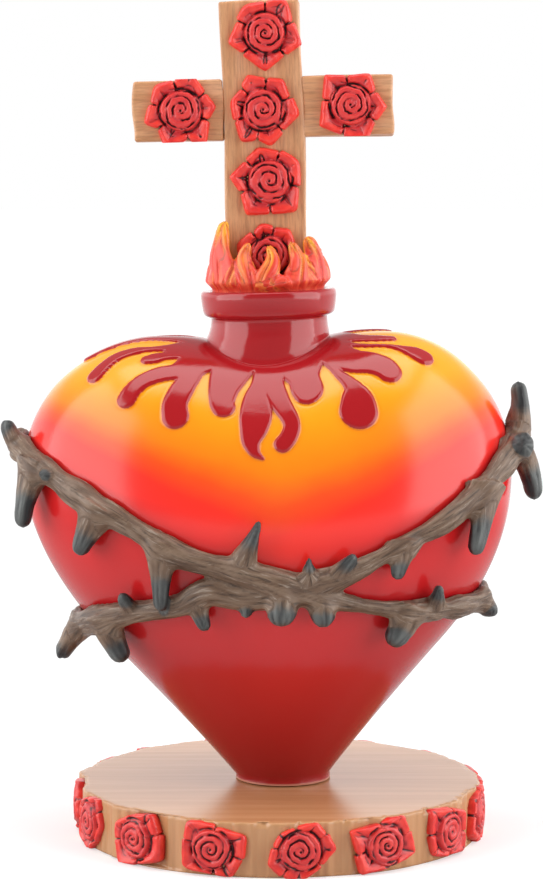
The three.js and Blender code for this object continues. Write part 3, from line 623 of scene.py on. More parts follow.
def relaxed(points, triangles, times):
    """Moves each point half way to the mean of its neighbours, a few times."""
    a, b = triangles.ravel(), np.roll(triangles, -1, 1).ravel()
    ends, others = np.concatenate([a, b]), np.concatenate([b, a])
    share = np.bincount(ends, minlength=len(points))[:, None]
    for _ in range(times):
        points = 0.5 * points + 0.5 * point_sums(len(points), ends, points[others]) / share
    return points


def point_normals(points, triangles):
    """Sum of the cross products of the triangles round each point, made unit length."""
    a, b, c = (points[triangles[:, k]] for k in range(3))
    facing = np.cross(b - a, c - a)
    return unit(sum(point_sums(len(points), triangles[:, k], facing) for k in range(3)) + 1e-12)


BATCH = 4000  # points compared with all guides at once, which keeps the memory small


def along_flow(points, guides):
    """For each point: nearest guide's row, and its turn about, place along and distance from it."""
    centre, forward, upward, outward, place, girth = guides
    rows = np.empty(len(points), dtype=int)
    for first in range(0, len(points), BATCH):
        part = points[first : first + BATCH]
        gap = (part**2).sum(1)[:, None] - 2 * part @ centre.T + (centre**2).sum(1)
        rows[first : first + BATCH] = (np.sqrt(np.maximum(gap, 0)) - girth).argmin(1)
    gap = points - centre[rows]
    ahead = (gap * forward[rows]).sum(1)
    turn = np.arctan2((gap * upward[rows]).sum(1), (gap * outward[rows]).sum(1))
    away = np.linalg.norm(gap - ahead[:, None] * forward[rows], axis=1)
    return rows, turn, place[rows] + ahead, away


print("corner triangle's normal", point_normals(np.eye(3), np.array([[0, 1, 2]]))[0].round(2))

# %% [markdown]
# ## Crown of thorns
#
# Each thorn grows out of its strand like a cat's claw: wide and flat at the root, then bending to
# a blunt tip. Its root lies along the strand, which makes the webbed look of the model. Some are
# seen from the end and are no more than knots, and one at the left hangs over the lower strand.

# %% Thorns
THORNS = [  # strand, turn, lean and rise of the tip, its distance off, half width at the root, tip's radius
    (0, -80, -2, 6.0, 8.2, 5.0, 2.5), (0, -66, -2, -17.5, 7.5, 6.2, 2.9), (0, -58, 1, 0, 6.8, 3.2, 1.8),
    (0, -41, -8, -13, 5.2, 6.6, 2.7), (0, -25, -4, -17.5, 6.5, 5.2, 2.3), (0, -8, 6, 15, 4.8, 5.4, 1.2),
    (1, -7.5, 0, -5.5, 4, 2.4, 1.8), (1, -20, 1, -9, 4.6, 4.4, 2.0), (0, 2, -1, -10, 6.4, 5.6, 4.2),
    (1, 8, 0, 9.5, 5, 6.0, 0.5), (1, 13, 5.5, 8, 5.4, 3.6, 1.8), (0, 11, 1, -7.5, 5.6, 4.8, 3.4),
    (1, 31, -2, -9.5, 5.0, 4.6, 2.2), (1, 58, -7, -18.5, 6.6, 5.6, 2.8), (1, 86, 0, -17, 7.5, 6.0, 3.0),
    (1, 88, 1, 13.5, 8.8, 6.2, 2.9), (1, 77, -6, 1.0, 8, 5.8, 4.2), (0, 47, -4, 9, 4.8, 4.8, 1.3),
    (0, 38, -5, -8, 5.8, 5.6, 3.2), (0, 82, -2, -2, 8, 4.4, 3.4), (1, -41, 2, 7.5, 5.2, 3.2, 2.0),
    (1, -55, 2, -10.5, 6.4, 6.4, 3.4), (1, -82, -8, -3.0, 14.0, 5.2, 3.1)]
behind = [(1 - which, turn + 180, *rest) for row, (which, turn, *rest) in enumerate(THORNS)
          if abs(turn) < 70 and row % 3 == 0]
print("thorns", len(THORNS) + len(behind))

# %% Claws
THORN_STATIONS = 21


def thorn_path(which, turn, lean, rise, out):
    """Quadratic curve from inside the strand to the tip, bent outwards, with its directions."""
    angle, tip_angle = angle_of([turn]), angle_of([turn + lean])
    base, forward, outward, _ = strand_frame(which, angle, 0.74 * STRAND_SEAT)
    tip = off_heart(tip_angle, strand_height(which, angle) + rise, [out])
    bend = base + 0.4 * (tip - base) + 0.35 * out * outward
    t = np.linspace(0, 1, THORN_STATIONS)[:, None]
    path = (1 - t) ** 2 * base + 2 * (1 - t) * t * bend + t**2 * tip
    ahead = unit((1 - t) * (bend - base) + t * (tip - bend))
    broad = unit(forward - (ahead @ forward[0])[:, None] * ahead)  # across the claw, along the strand
    return path, ahead, broad, unit(np.cross(ahead, broad)), t[:, 0]


def claw(t, length, root, tip):
    """Half width from root to tip as (1-t)^1.3, flared by (1-t)^5 at the root, and a round end whose
    length is the tip's radius."""
    body = tip + (root - tip) * (1 - t) ** 1.3 + 0.3 * root * (1 - t) ** 5
    start = 1 - min(tip / length, 0.5)
    return body * np.sqrt(np.clip(1 - np.clip((t - start) / (1 - start), 0, 1) ** 2, 0.003, 1))


print("a claw's root is", round(float(claw(0.0, 10.0, 5.0, 2.0)), 1), "mm to each side")

# %% Heap of strands and thorns
heap, guides = [], []
round_angle = np.linspace(0, TAU, 900, endpoint=False)
for which in (0, 1):
    middle, forward, outward, upward = strand_frame(which, round_angle)
    girth = np.interp(turn_of(round_angle), *np.array(GIRTHS[which]).T)
    knots = wander(np.stack([np.cos(round_angle), np.sin(round_angle)], -1) * 60, 16, 5 + which)
    half = 1.14 * girth * (1 + 0.09 * knots)
    heap.append(shell(tube(middle, upward, outward, half, 0.9 * half, floor=STRAND_SEAT - 0.45), ring=True))
    walk = np.cumsum(np.linalg.norm(middle - np.roll(middle, 1, 0), axis=1))
    guides.append((middle, forward, upward, outward, walk + 500 * which, half))
strand_guides = [np.concatenate(part) for part in zip(*guides)]
guides = []
for row, (which, turn, lean, rise, out, root, tip) in enumerate(THORNS + behind):
    path, ahead, broad, other, t = thorn_path(which, turn, lean, rise, out)
    length = np.linalg.norm(np.diff(path, axis=0), axis=1).sum()
    wide = claw(t, length, root, tip)
    thick = claw(t, length, 0.74 * root, 0.85 * tip)
    heap.append(shell(tube(path, broad, other, wide, thick, sides=20)))
    guides.append((path, ahead, broad, other, length * t + 40 * row, 0.5 * (wide + thick)))
thorn_guides = [np.concatenate(part) for part in zip(*guides)]
print("heap of", len(heap), "tubes")

# %% [markdown]
# The bark's grooves are pressed in along the strands and bend into the thorns. The grooves are the
# zero lines of a wandering value that is stretched along the flow, which makes long V-shaped cuts.
# The same stretched place is kept as an attribute, so that painted fibres follow the wood too.

# %% Fused crown
crown, crown_triangles = fused(heap, 0.57)
crown = relaxed(crown, crown_triangles, 6)
facing = point_normals(crown, crown_triangles)
_, turn, along, away = along_flow(crown, strand_guides)
rows, thorn_turn, thorn_along, thorn_away = along_flow(crown, thorn_guides)
t_thorn = (rows % THORN_STATIONS) / (THORN_STATIONS - 1)
on_thorn = smooth(away - 1.6 * thorn_away, -2.2, 1.2)
print("crown", len(crown), "points, on thorns", round(100 * on_thorn.mean()), "%")


# %% Bark grooves
def grooves(turn, along, girth, size, seed):
    """Cuts along the flow: how near a wandering value, slow along and quick round, is to nothing."""
    place = np.stack([girth * np.cos(turn), girth * np.sin(turn), 0.11 * along], -1)
    return np.abs(wander(place, size, seed))


def bark_grooves(size, thorn_size, seed):
    """The strand's grooves, changing over to the thorn's own where a point is on a thorn."""
    return ((1 - on_thorn) * grooves(turn, along, 3.0, size, seed)
            + on_thorn * grooves(thorn_turn, thorn_along, 2.2, thorn_size, seed + 1))


bark, fine = bark_grooves(2.3, 2.3, 11), bark_grooves(1.1, 1.3, 13)
patches = 0.35 + 0.65 * smooth(wander(crown, 14, 17), -0.6, 0.6)
press = patches * (0.34 * np.minimum(bark, 1.2) + 0.2 * np.minimum(fine, 1.2)) - 0.28
crown = crown + facing * (press * (1 - 0.4 * smooth(t_thorn * on_thorn, 0.6, 1)))[:, None]
flow = np.where((on_thorn > 0.5)[:, None],
                np.stack([2.2 * np.cos(thorn_turn), 2.2 * np.sin(thorn_turn), 0.1 * thorn_along + 9], -1),
                np.stack([3.5 * np.cos(turn), 3.5 * np.sin(turn), 0.1 * along], -1))
print("pressed between", round(float(press.min()), 2), "and", round(float(press.max()), 2), "mm")


# %% Keep the crown off the heart
GIRTH_FLOOR, GIRTH_STEP = 20, 0.5  # mm, lowest height of the table and its step
CLEARANCE = 0.12  # mm between the heart and the crown


def heart_girth(angle, height):
    """Radius of the heart round its own axis, read between the points of a table of angle and height."""
    angles, heights = np.linspace(0, TAU, 361), GIRTH_FLOOR + GIRTH_STEP * np.arange(201)
    level = np.array([level_at_height(np.full(len(heights), a), heights) for a in angles])
    spots = on_heart(angles[:, None], level)
    x, y = spots[..., 0] - leftward(spots[..., 2]), spots[..., 1]
    table = []
    for bearing, radius in zip((np.arctan2(y, x) % TAU).T, np.hypot(x, y).T):
        bearing = np.concatenate([[bearing[0] - 1e-6], bearing[1:-1], [TAU]])
        table.append(np.interp(angles, bearing, radius))
    table = np.array(table).T
    u = (angle % TAU) / TAU * 360
    v = np.clip((height - GIRTH_FLOOR) / GIRTH_STEP, 0, len(heights) - 1.001)
    i, j = u.astype(int), v.astype(int)
    f, g, after = u - i, v - j, (i + 1) % 361
    return ((1 - f) * ((1 - g) * table[i, j] + g * table[i, j + 1])
            + f * ((1 - g) * table[after, j] + g * table[after, j + 1]))


x = crown[:, 0] - leftward(crown[:, 2])
bearing, radius = np.arctan2(crown[:, 1], x), np.hypot(x, crown[:, 1])
least = heart_girth(bearing, crown[:, 2]) + CLEARANCE
sunk = np.maximum(least - radius, 0)
crown[:, 0] += sunk * np.cos(bearing)
crown[:, 1] += sunk * np.sin(bearing)
print("crown", len(crown_triangles), "triangles, pushed off by up to", round(float(sunk.max()), 2), "mm")

# %% [markdown]
# The bark was painted a grey-brown, washed with dark brown that stays in the grooves, and brushed
# almost dry with a pale taupe that catches only the ridges. Thin dark and pale fibres run along the
# wood between the grooves. The tips are slate grey with a dark stroke down the middle.

# %% Bark colours
# Dry-brushed paint gives the eye streaks that run along the wood, and no clear reflection.
bark_paint, tree, shader = new_paint("dry_brushed_bark_on_cast_resin")
place = add(tree, "TexCoord", out="Object")
depth = add(tree, "Attribute", out="Fac", attribute_name="groove")
stretched = add(tree, "Attribute", out="Vector", attribute_name="flow")
mottle = add(tree, "TexNoise", {"Vector": place, "Scale": 120.0, "Detail": 4.0})  # 8 mm clouds
fibres = add(tree, "TexNoise", {"Vector": stretched, "Scale": 1.5, "Detail": 5.0, "Roughness": 0.62})
base = add(tree, "ValToRGB", {"Fac": mottle}, stops=[(0.3, "#523A2A"), (0.5, "#654B38"), (0.7, "#785F4C")])
washed = add(tree, "ValToRGB", {"Fac": depth}, stops=[
    (0.0, "#2B1C13"), (0.14, "#483325"), (0.4, "#68503E"), (1.0, "#8B7562")])
wood = add(tree, "Mix", {"Factor": 0.55, "A": base, "B": washed}, data_type="RGBA")
for low, high, most, code in ((0.47, 0.34, 0.75, "#35261C"), (0.56, 0.68, 0.6, "#A39384")):  # dark, pale
    fibre = add(tree, "MapRange", {"Value": fibres, "From Min": low, "From Max": high, "To Max": most},
                interpolation_type="SMOOTHSTEP")
    wood = add(tree, "Mix", {"Factor": fibre, "A": wood, "B": code}, data_type="RGBA")
print("bark", len(tree.nodes), "nodes")

# %% Slate tips, and the crown's skin
tip = add(tree, "Attribute", out="Fac", attribute_name="tip")
stroke = add(tree, "Attribute", out="Fac", attribute_name="stroke")
slate = add(tree, "ValToRGB", {"Fac": depth}, stops=[(0.0, "#1F2020"), (0.35, "#3C3E3E"), (1.0, "#5E615F")])
slate = add(tree, "Mix", {"Factor": stroke, "A": slate, "B": "#17181A"}, data_type="RGBA")
ragged = add(tree, "Math", {0: mottle, 1: 0.9, 2: tip}, operation="MULTIPLY_ADD")
tipped = add(tree, "MapRange", {"Value": ragged, "From Min": 0.62, "From Max": 1.2},
             interpolation_type="SMOOTHSTEP")
connect(tree, shader, {
    "Base Color": add(tree, "Mix", {"Factor": tipped, "A": wood, "B": slate}, data_type="RGBA"),
    "Roughness": add(tree, "MapRange", {"Value": mottle, "To Min": 0.34, "To Max": 0.48}),
    "Normal": add(tree, "Bump", {"Height": fibres, "Strength": 0.6, "Distance": 0.0006}),
    "IOR": 1.48})
make_piece("thorny_strands", upright(crown), crown_triangles, "crown_of_thorns", bark_paint, {
    "groove": np.clip(0.6 * bark + 0.4 * fine, 0, 1),
    "tip": smooth(t_thorn, 0.2, 0.85) * on_thorn,
    "stroke": np.exp(-((np.sin(thorn_turn - 1.3) / 0.42) ** 2)) * smooth(t_thorn, 0.3, 0.6) * on_thorn,
    "flow": flow})

# %% [markdown]
# ## Flames
#
# The ring of flames is modelled like putty pinched upwards: thick tongues that lean and curl, with
# grooves that run up them. Each tongue is a flattened tube along a curved path round the ring.

# %% Tongues
FLAME_RADIUS = 15.2  # middle of the wall, mm
TONGUES = [  # turn at the foot, turn at the tip, height over the seat, half width, half thickness, bulge
    (-90, -92, 14.5, 4.8, 2.6, 1.2), (-62, -56, 22.5, 5.4, 2.7, 1.2), (-42, -46, 11.5, 4.0, 2.7, 1.4),
    (-27, -21, 16.0, 3.1, 2.7, 1.3), (2, 1, 15.2, 3.0, 2.5, 1.4), (1, 1, 4.6, 4.8, 3.0, 2.2),
    (37, 27, 16.0, 3.2, 2.7, 1.4), (50, 48, 12.5, 3.8, 2.8, 1.6), (66, 54, 17.2, 4.8, 2.7, 1.4),
    (90, 84, 14.0, 5.0, 2.6, 1.2), (114, 108, 15, 5.2, 2.6, 1.2), (140, 134, 13, 5.0, 2.6, 1.2),
    (166, 171, 16.5, 5.0, 2.6, 1.2), (194, 199, 13.2, 4.8, 2.6, 1.2), (220, 226, 16, 5.0, 2.6, 1.2),
    (246, 242, 13.5, 4.8, 2.6, 1.2)]
TONGUE_STATIONS, WALL_STATIONS = 16, 180
print("tongues", len(TONGUES))

# %% Heap of tongues
heap, guides = [], []
t = np.linspace(0, 1, TONGUE_STATIONS)
for row, (foot, tip_turn, top, wide, thick, bulge) in enumerate(TONGUES):
    angle = angle_of(foot + (tip_turn - foot) * t**1.5 + 5.0 * np.sin(TAU * t) * (1 if row % 2 else -1))
    radius = FLAME_RADIUS + bulge * np.sin(math.pi * np.minimum(t * 1.25, 1)) ** 1.2 - 0.6 * t
    middle = np.stack([radius * np.cos(angle), radius * np.sin(angle), SEAT + 1.6 + (top + 0.2) * t], -1)
    forward = unit(np.gradient(middle, axis=0))
    sideways = np.stack([-np.sin(angle), np.cos(angle), 0 * angle], -1)
    sideways = unit(sideways - (sideways * forward).sum(1)[:, None] * forward)
    outward = unit(np.cross(sideways, forward))
    taper = (1 - t**1.9) * (1 + 0.1 * np.sin(math.pi * t)) + 0.18
    end = np.sqrt(np.clip(1 - np.clip((t - 0.9) / 0.1, 0, 1) ** 2, 0.01, 1))
    half_wide, half_thick = 1.1 * wide * taper * end, 1.12 * thick * (1 - 0.5 * t) * end
    heap.append(shell(tube(middle, sideways, outward, half_wide, half_thick, sides=24)))
    guides.append((middle, forward, sideways, outward, top * t + 40 * row, wide * taper))
ring = np.linspace(0, TAU, WALL_STATIONS, endpoint=False)  # the low wall that the tongues stand on
out = np.stack([np.cos(ring), np.sin(ring), 0 * ring], -1)
up = np.tile([0.0, 0.0, 1.0], (WALL_STATIONS, 1))
middle = FLAME_RADIUS * out + (SEAT + 3.7) * up
half_up, half_out = np.full(WALL_STATIONS, 4.0), np.full(WALL_STATIONS, 1.7)
heap.append(shell(tube(middle, up, out, half_up, half_out), ring=True))
flame_guides = [np.concatenate(part) for part in zip(*guides)]
print("heap of", len(heap), "tubes")

# %% Fused flames
flames, flame_triangles = fused(heap, 0.36)
flames = relaxed(flames, flame_triangles, 3)
facing = point_normals(flames, flame_triangles)
rows, turn, along, _ = along_flow(flames, flame_guides)
t_flame = (rows % TONGUE_STATIONS) / (TONGUE_STATIONS - 1)
licks = grooves(turn + 0.06 * along, along * 2.4, 3.0, 4.2, 31)
flames = flames + facing * (0.85 * np.minimum(licks, 0.8) - 0.36)[:, None]
radius = np.hypot(flames[:, 0], flames[:, 1])
in_socket = smooth(COLLAR_TOP + 5.0 - flames[:, 2], 0, 3.0)
shrink = 1 - in_socket * np.maximum(1 - (SOCKET_RADIUS - 0.35) / radius, 0)
flames[:, :2] *= shrink[:, None]
flames[:, 2] = np.maximum(flames[:, 2], SEAT - 0.2)
print("drawn into the socket by up to", round(float((radius * (1 - shrink)).max()), 1), "mm")

# %% [markdown]
# The flames were painted coral red, then ochre yellow was brushed up the grooves, the inner walls
# and the tips, and the whole was washed thinly with brown.

# %% Flame paint
# Brushed paint over deep grooves gives the eye streaks of two colours that lick upwards.
flame_paint, tree, shader = new_paint("brushed_flame_colours_on_cast_resin")
lick, tall, inner, cut = (add(tree, "Attribute", out="Fac", attribute_name=name)
                          for name in ("lick", "tall", "inner", "cut"))
swept = add(tree, "Attribute", out="Vector", attribute_name="flow")
mottle = add(tree, "TexNoise", {"Vector": swept, "Scale": 0.8, "Detail": 4.0})
red, ochre = (add(tree, "ValToRGB", {"Fac": mottle}, stops=list(zip((0.3, 0.5, 0.68), tones)))
              for tones in (("#CC2E22", "#DE4230", "#E86244"), ("#C97A14", "#E89A1C", "#F5B638")))
streak = add(tree, "Math", {0: lick, 1: 0.6, 2: tall}, operation="MULTIPLY_ADD")
streak = add(tree, "Math", {0: mottle, 1: 1.3, 2: streak}, operation="MULTIPLY_ADD")
yellowed = add(tree, "MapRange", {"Value": streak, "From Min": 1.42, "From Max": 2.3})
yellowed = add(tree, "Math", {0: yellowed, 1: inner}, operation="MAXIMUM")
flame_colour = add(tree, "Mix", {"Factor": yellowed, "A": red, "B": ochre}, data_type="RGBA")
connect(tree, shader, {
    "Base Color": add(tree, "Mix", {"Factor": cut, "A": flame_colour, "B": "#7E3419"}, data_type="RGBA"),
    "Roughness": add(tree, "MapRange", {"Value": mottle, "To Min": 0.3, "To Max": 0.45}),
    "IOR": 1.5})
inward = -(facing[:, :2] * flames[:, :2]).sum(1) / np.maximum(radius, 1)
lick_place = np.stack([3.0 * np.cos(turn), 3.0 * np.sin(turn), 0.22 * along], -1)
make_piece("flames", upright(flames), flame_triangles, "flame_ring", flame_paint, {
    "lick": np.clip(0.5 + 0.5 * wander(lick_place, 4.2, 33), 0, 1),
    "tall": t_flame,
    "inner": smooth(inward, 0.1, 0.6),
    "cut": 0.6 * (1 - smooth(licks, 0.0, 0.13)),
    "flow": np.stack([3.2 * np.cos(turn), 3.2 * np.sin(turn), 0.18 * along], -1)})

# %% [markdown]
# ## Roses
#
# Every rose is a rolled bud inside folded outer petals, each bent like a roof tile with its corner
# outwards. The rose is a height over its plane. The bud's groove is a spiral: the distance from the
# middle, less the turn's share of the pitch, is a whole number of pitches. A petal's outline is two
# straight lines from its corner to its two waists. Its ridge follows them a little inside, and from
# there it falls away towards the bud, where a dark wash has run into the cracks.

# %% Petal outline
def petal_plan(seed, petals, corner, waist):
    """Random plan of a rose. For each petal: the directions of its two waists and its corner, the
    corner's distance, the points of the corner and waists, its bend and how far it is cracked."""
    rng = np.random.default_rng(seed)
    waists = (np.arange(petals) + rng.uniform(-0.14, 0.14, petals)) * TAU / petals
    upper = np.append(waists[1:], waists[0] + TAU)
    way = 0.5 * (waists + upper) + rng.uniform(-0.12, 0.12, petals)
    far = corner * rng.uniform(0.88, 1.07, petals)
    near = waist * rng.uniform(0.95, 1.07, (2, petals))
    tip = np.stack([far * np.cos(way), far * np.sin(way)], -1)
    low = np.stack([near[0] * np.cos(waists), near[0] * np.sin(waists)], -1)
    high = np.stack([near[1] * np.cos(upper), near[1] * np.sin(upper)], -1)
    return waists, upper, way, far, tip, low, high, rng.uniform(0.3, 1.9, petals), rng.uniform(0.4, 1, petals)


def in_petal(x, y, plan):
    """For each point: distance outside its petal's outline, distance inside its two waist lines,
    sideways distance from its middle line, and the petal's number."""
    waists, upper, way, _, tip, low, high, bend, _ = plan
    a = (np.arctan2(y, x) - waists[0]) % TAU + waists[0]
    k = np.clip(np.searchsorted(waists, a.ravel(), side="right") - 1, 0, len(waists) - 1).reshape(a.shape)
    r = np.hypot(x, y)
    offsets = []
    for end, hand in ((low, -1), (high, 1)):
        line = (end - tip)[k]
        normal = np.stack([line[..., 1], -line[..., 0]], -1) * hand / np.linalg.norm(line, axis=-1)[..., None]
        offsets.append((x - tip[k][..., 0]) * normal[..., 0] + (y - tip[k][..., 1]) * normal[..., 1])
    out = 0.5 * (offsets[0] + offsets[1] + np.hypot(offsets[0] - offsets[1], bend[k]))
    side = r * np.minimum(a - waists[k], upper[k] - a)
    return out, side, np.abs(r * (a - way[k])), k


print("petals' corners at", petal_plan(100, 5, 12.0, 9.2)[3].round(1), "mm")

# %% Petals and bud
RIDGE = 1.15  # mm from a petal's outline to its ridge


def petals_height(x, y, flat, seed, plan, squash, relief):
    """Height and dark wash of the outer petals: a round ridge inside the outline, a fall from there
    to the bud, and dips at the waists, the cracks and the folds."""
    r = np.hypot(x, y)
    bump, fleck = wander(flat, 6.0, seed + 50), wander(flat, 1.6, seed + 53)
    out, side, middle, k = in_petal(x, y / squash, plan)
    out = out + 0.16 * bump + 0.07 * fleck
    middle, side = np.abs(middle + 0.5 * bump), np.abs(side + 0.15 * fleck)
    far, cracked = plan[3][k], plan[8][k]
    ridge = np.sqrt(1 - np.clip((out + RIDGE) / RIDGE, 0, 1) ** 2)
    height = relief * (0.25 + 0.75 * ridge) - 0.42 * np.clip(-RIDGE - out, 0, 4) + 0.12 * bump
    near_waist = np.sqrt(1 - (1 - np.clip(side / 0.8, 0, 1)) ** 2)
    height = 0.2 + (height - 0.2) * (0.15 + 0.85 * near_waist)
    crack = cracked * np.exp(-((middle / 0.32) ** 2)) * smooth(far - 2.1 - r, 0, 1.0)
    fold = np.exp(-(((out + 2.7 + 0.2 * bump) / 0.3) ** 2))
    fold = 0.55 * fold * np.clip(0.5 + wander(flat, 3.0, seed + 54), 0, 1)
    dark = np.maximum(np.maximum(np.exp(-((side / 0.26) ** 2)), fold), 0.95 * crack)
    return height - 0.7 * crack - 0.4 * fold, dark, smooth(-out, 1.7, 2.9)


def bud_height(r, a, flat, rng, seed, rim, core, relief):
    """Height and dark wash of the bud: each lap of the spiral is rounded, with a groove between laps
    that is open in some stretches, an eye in the middle and a rounded rim."""
    bump, fleck = wander(flat, 6.0, seed + 50), wander(flat, 1.6, seed + 53)
    phase, pitch = rng.uniform(0, TAU), core / 3.05
    lap = (r + 0.26 * bump + 0.1 * fleck) / pitch - (a - phase) / TAU
    frac = lap - np.floor(lap)
    apart = np.minimum(frac, 1 - frac) * pitch
    open_share = np.clip(0.78 + 0.7 * wander(flat, 3.0, seed + 51), 0.1, 1)
    groove = open_share * np.exp(-((apart / 0.27) ** 2)) * (r > 0.35 * pitch)
    eye = np.exp(-((r / 0.4) ** 2))
    round_rim = 0.35 + 0.65 * np.sqrt(1 - (1 - np.clip((rim - r) / 0.7, 0, 1)) ** 2)
    height = (relief + 0.7 - 0.012 * r**2 - 0.3 * (2 * frac - 1) ** 2) * round_rim
    return height - 0.85 * groove - 0.6 * eye, np.maximum(groove, eye), 0.55 + 0.45 * smooth(apart, 0.5, 0.2)


print("ridge", RIDGE, "mm inside the outline")

# %% Rose height
def rose_height(x, y, seed, plan, squash, core, relief=2.5):
    """Height over the rose's plane, the dark wash's share, and how far the paint is thinned. The
    bud is inside its rim, and along the rim a dark cut separates it from the petals."""
    flat = np.stack([x, y, 0 * x], -1)
    r, a = np.hypot(x, y), np.arctan2(y, x)
    rim = core + 0.16 * wander(flat, 6.0, seed + 50) + 0.12 * np.sin(3 * a + seed)
    petal, petal_dark, petal_thin = petals_height(x, y, flat, seed, plan, squash, relief)
    hug = np.clip(0.6 + 0.8 * wander(flat, 4.0, seed + 52), 0.1, 1)
    beside = hug * np.exp(-(((r - rim - 0.3) / 0.42) ** 2))
    bud, bud_dark, bud_thin = bud_height(r, a, flat, np.random.default_rng(seed), seed, rim, core, relief)
    in_bud = r < rim
    return (np.where(in_bud, bud, petal - 0.9 * beside),
            np.where(in_bud, bud_dark, np.maximum(petal_dark, 0.95 * beside)),
            np.where(in_bud, bud_thin, petal_thin))


middle = np.zeros((1, 1))
height = rose_height(middle, middle, 100, petal_plan(100, 5, 12.0, 9.2), 1.0, 6.1)[0]
print("a rose's middle stands", round(float(height[0, 0]), 2), "mm high")

# %% Rose grid
def rose_grid(seed, turn, rings, spokes, petals, limit=None, corner=12.0, waist=9.2, size=1.0, squash=1.0,
              core=6.1):
    """Polar grid of the rose, with its wash and its thinned paint: spokes run from the middle to the
    petals' outline, or to the limit above and below, and a last ring goes straight down inside what
    carries the rose."""
    plan = petal_plan(seed, petals, corner, waist)
    a = np.linspace(0, TAU, spokes, endpoint=False)[None]
    reach = np.linspace(4, 14, 401)[:, None]
    c, s = np.cos(a - turn), np.sin(a - turn)
    out = in_petal(reach * c, reach * s / squash, plan)[0]
    edge = np.where(out < -0.03, reach, 0).max(0)[None]
    beside = in_petal(edge * c, edge * s / squash, plan)[1]
    edge = size * (edge - 0.9 * np.exp(-((beside / 0.4) ** 2)))
    if limit:
        edge = np.minimum(edge, limit / np.maximum(np.abs(np.sin(a)), 1e-6))
    r = edge * (np.arange(rings) + 0.5)[:, None] / (rings - 0.5)
    height, wash, thin = rose_height(r / size * c, r / size * s, seed, plan, squash, core)
    grid = np.stack([r * np.cos(a), r * np.sin(a), height], -1)
    skirt = [grid[-1:] * [share, share, 0] - [0, 0, 1.6] for share in (1, 0.3)]
    grid = np.concatenate([grid, *skirt])[::-1]
    wash, thin = (np.concatenate([share, share[-1:], share[-1:]])[::-1] for share in (wash, thin))
    return grid, wash, thin


def make_roses(name, node, roses):
    """One piece of many roses, from each one's grid, wash and thinned paint."""
    grids, washes, thins = zip(*roses)
    points, triangles = gathered([shell(grid) for grid in grids])
    make_piece(name, points, triangles, node, rose_paint, {
        "wash": np.concatenate([with_poles(wash) for wash in washes]),
        "thin": np.concatenate([with_poles(thin) for thin in thins])})


print("a small rose grid", rose_grid(100, 0.0, 8, 30, 5)[0].shape)

# %% Rose paint
# Brushed enamel gives the eye a bright coral on the ridges, and the wash draws the cracks dark.
rose_paint, tree, shader = new_paint("brushed_red_enamel_with_dark_wash")
place = add(tree, "TexCoord", out="Object")
wash = add(tree, "Attribute", out="Fac", attribute_name="wash")
thin = add(tree, "Attribute", out="Fac", attribute_name="thin")
worn = add(tree, "TexNoise", {"Vector": place, "Scale": 300.0, "Detail": 4.0})  # 3 mm patches
coral = add(tree, "ValToRGB", {"Fac": worn}, stops=[(0.3, "#CE2D2C"), (0.5, "#E4342C"), (0.7, "#EE4537")])
share = add(tree, "Math", {0: thin, 1: 0.55}, operation="MULTIPLY")
tinted = add(tree, "Mix", {"Factor": share, "A": coral, "B": "#B23440"}, data_type="RGBA")
soaked = add(tree, "MapRange", {"Value": wash, "From Min": 0.15, "From Max": 0.75},
             interpolation_type="SMOOTHSTEP")
connect(tree, shader, {
    "Base Color": add(tree, "Mix", {"Factor": soaked, "A": tinted, "B": "#3C1016"}, data_type="RGBA"),
    "Roughness": add(tree, "MapRange", {"Value": worn, "To Min": 0.26, "To Max": 0.4}),
    "IOR": 1.5})
print("rose paint", len(tree.nodes), "nodes")

# %% [markdown]
# ## Cross
#
# The cross was carved as a post and two arms of rough timber and cast in one. Each board is a
# rounded rectangle carried along its grain, with the cut of the saw and the wandering of the grain
# pressed into it. The rounded edges leave the dark joint on each side of the post.

# %% Boards
def rounded_section(wide, thick, round_off, step):
    """Points round a rectangle with quarter-round corners, front face first, evenly spaced."""
    hw, ht = wide / 2 - round_off, thick / 2 - round_off
    outline = []
    for x, y, start in ((hw, -ht, -90), (hw, ht, 0), (-hw, ht, 90), (-hw, -ht, 180)):
        bend = np.radians(np.linspace(start, start + 90, 5))
        outline.append(np.stack([x + round_off * np.cos(bend), y + round_off * np.sin(bend)], -1))
    outline = np.concatenate(outline)
    closed = np.concatenate([outline, outline[:1]])
    walk = np.concatenate([[0], np.cumsum(np.linalg.norm(np.diff(closed, axis=0), axis=1))])
    even = np.linspace(0, walk[-1], int(walk[-1] / step), endpoint=False)
    return np.stack([np.interp(even, walk, closed[:, k]) for k in range(2)], -1)


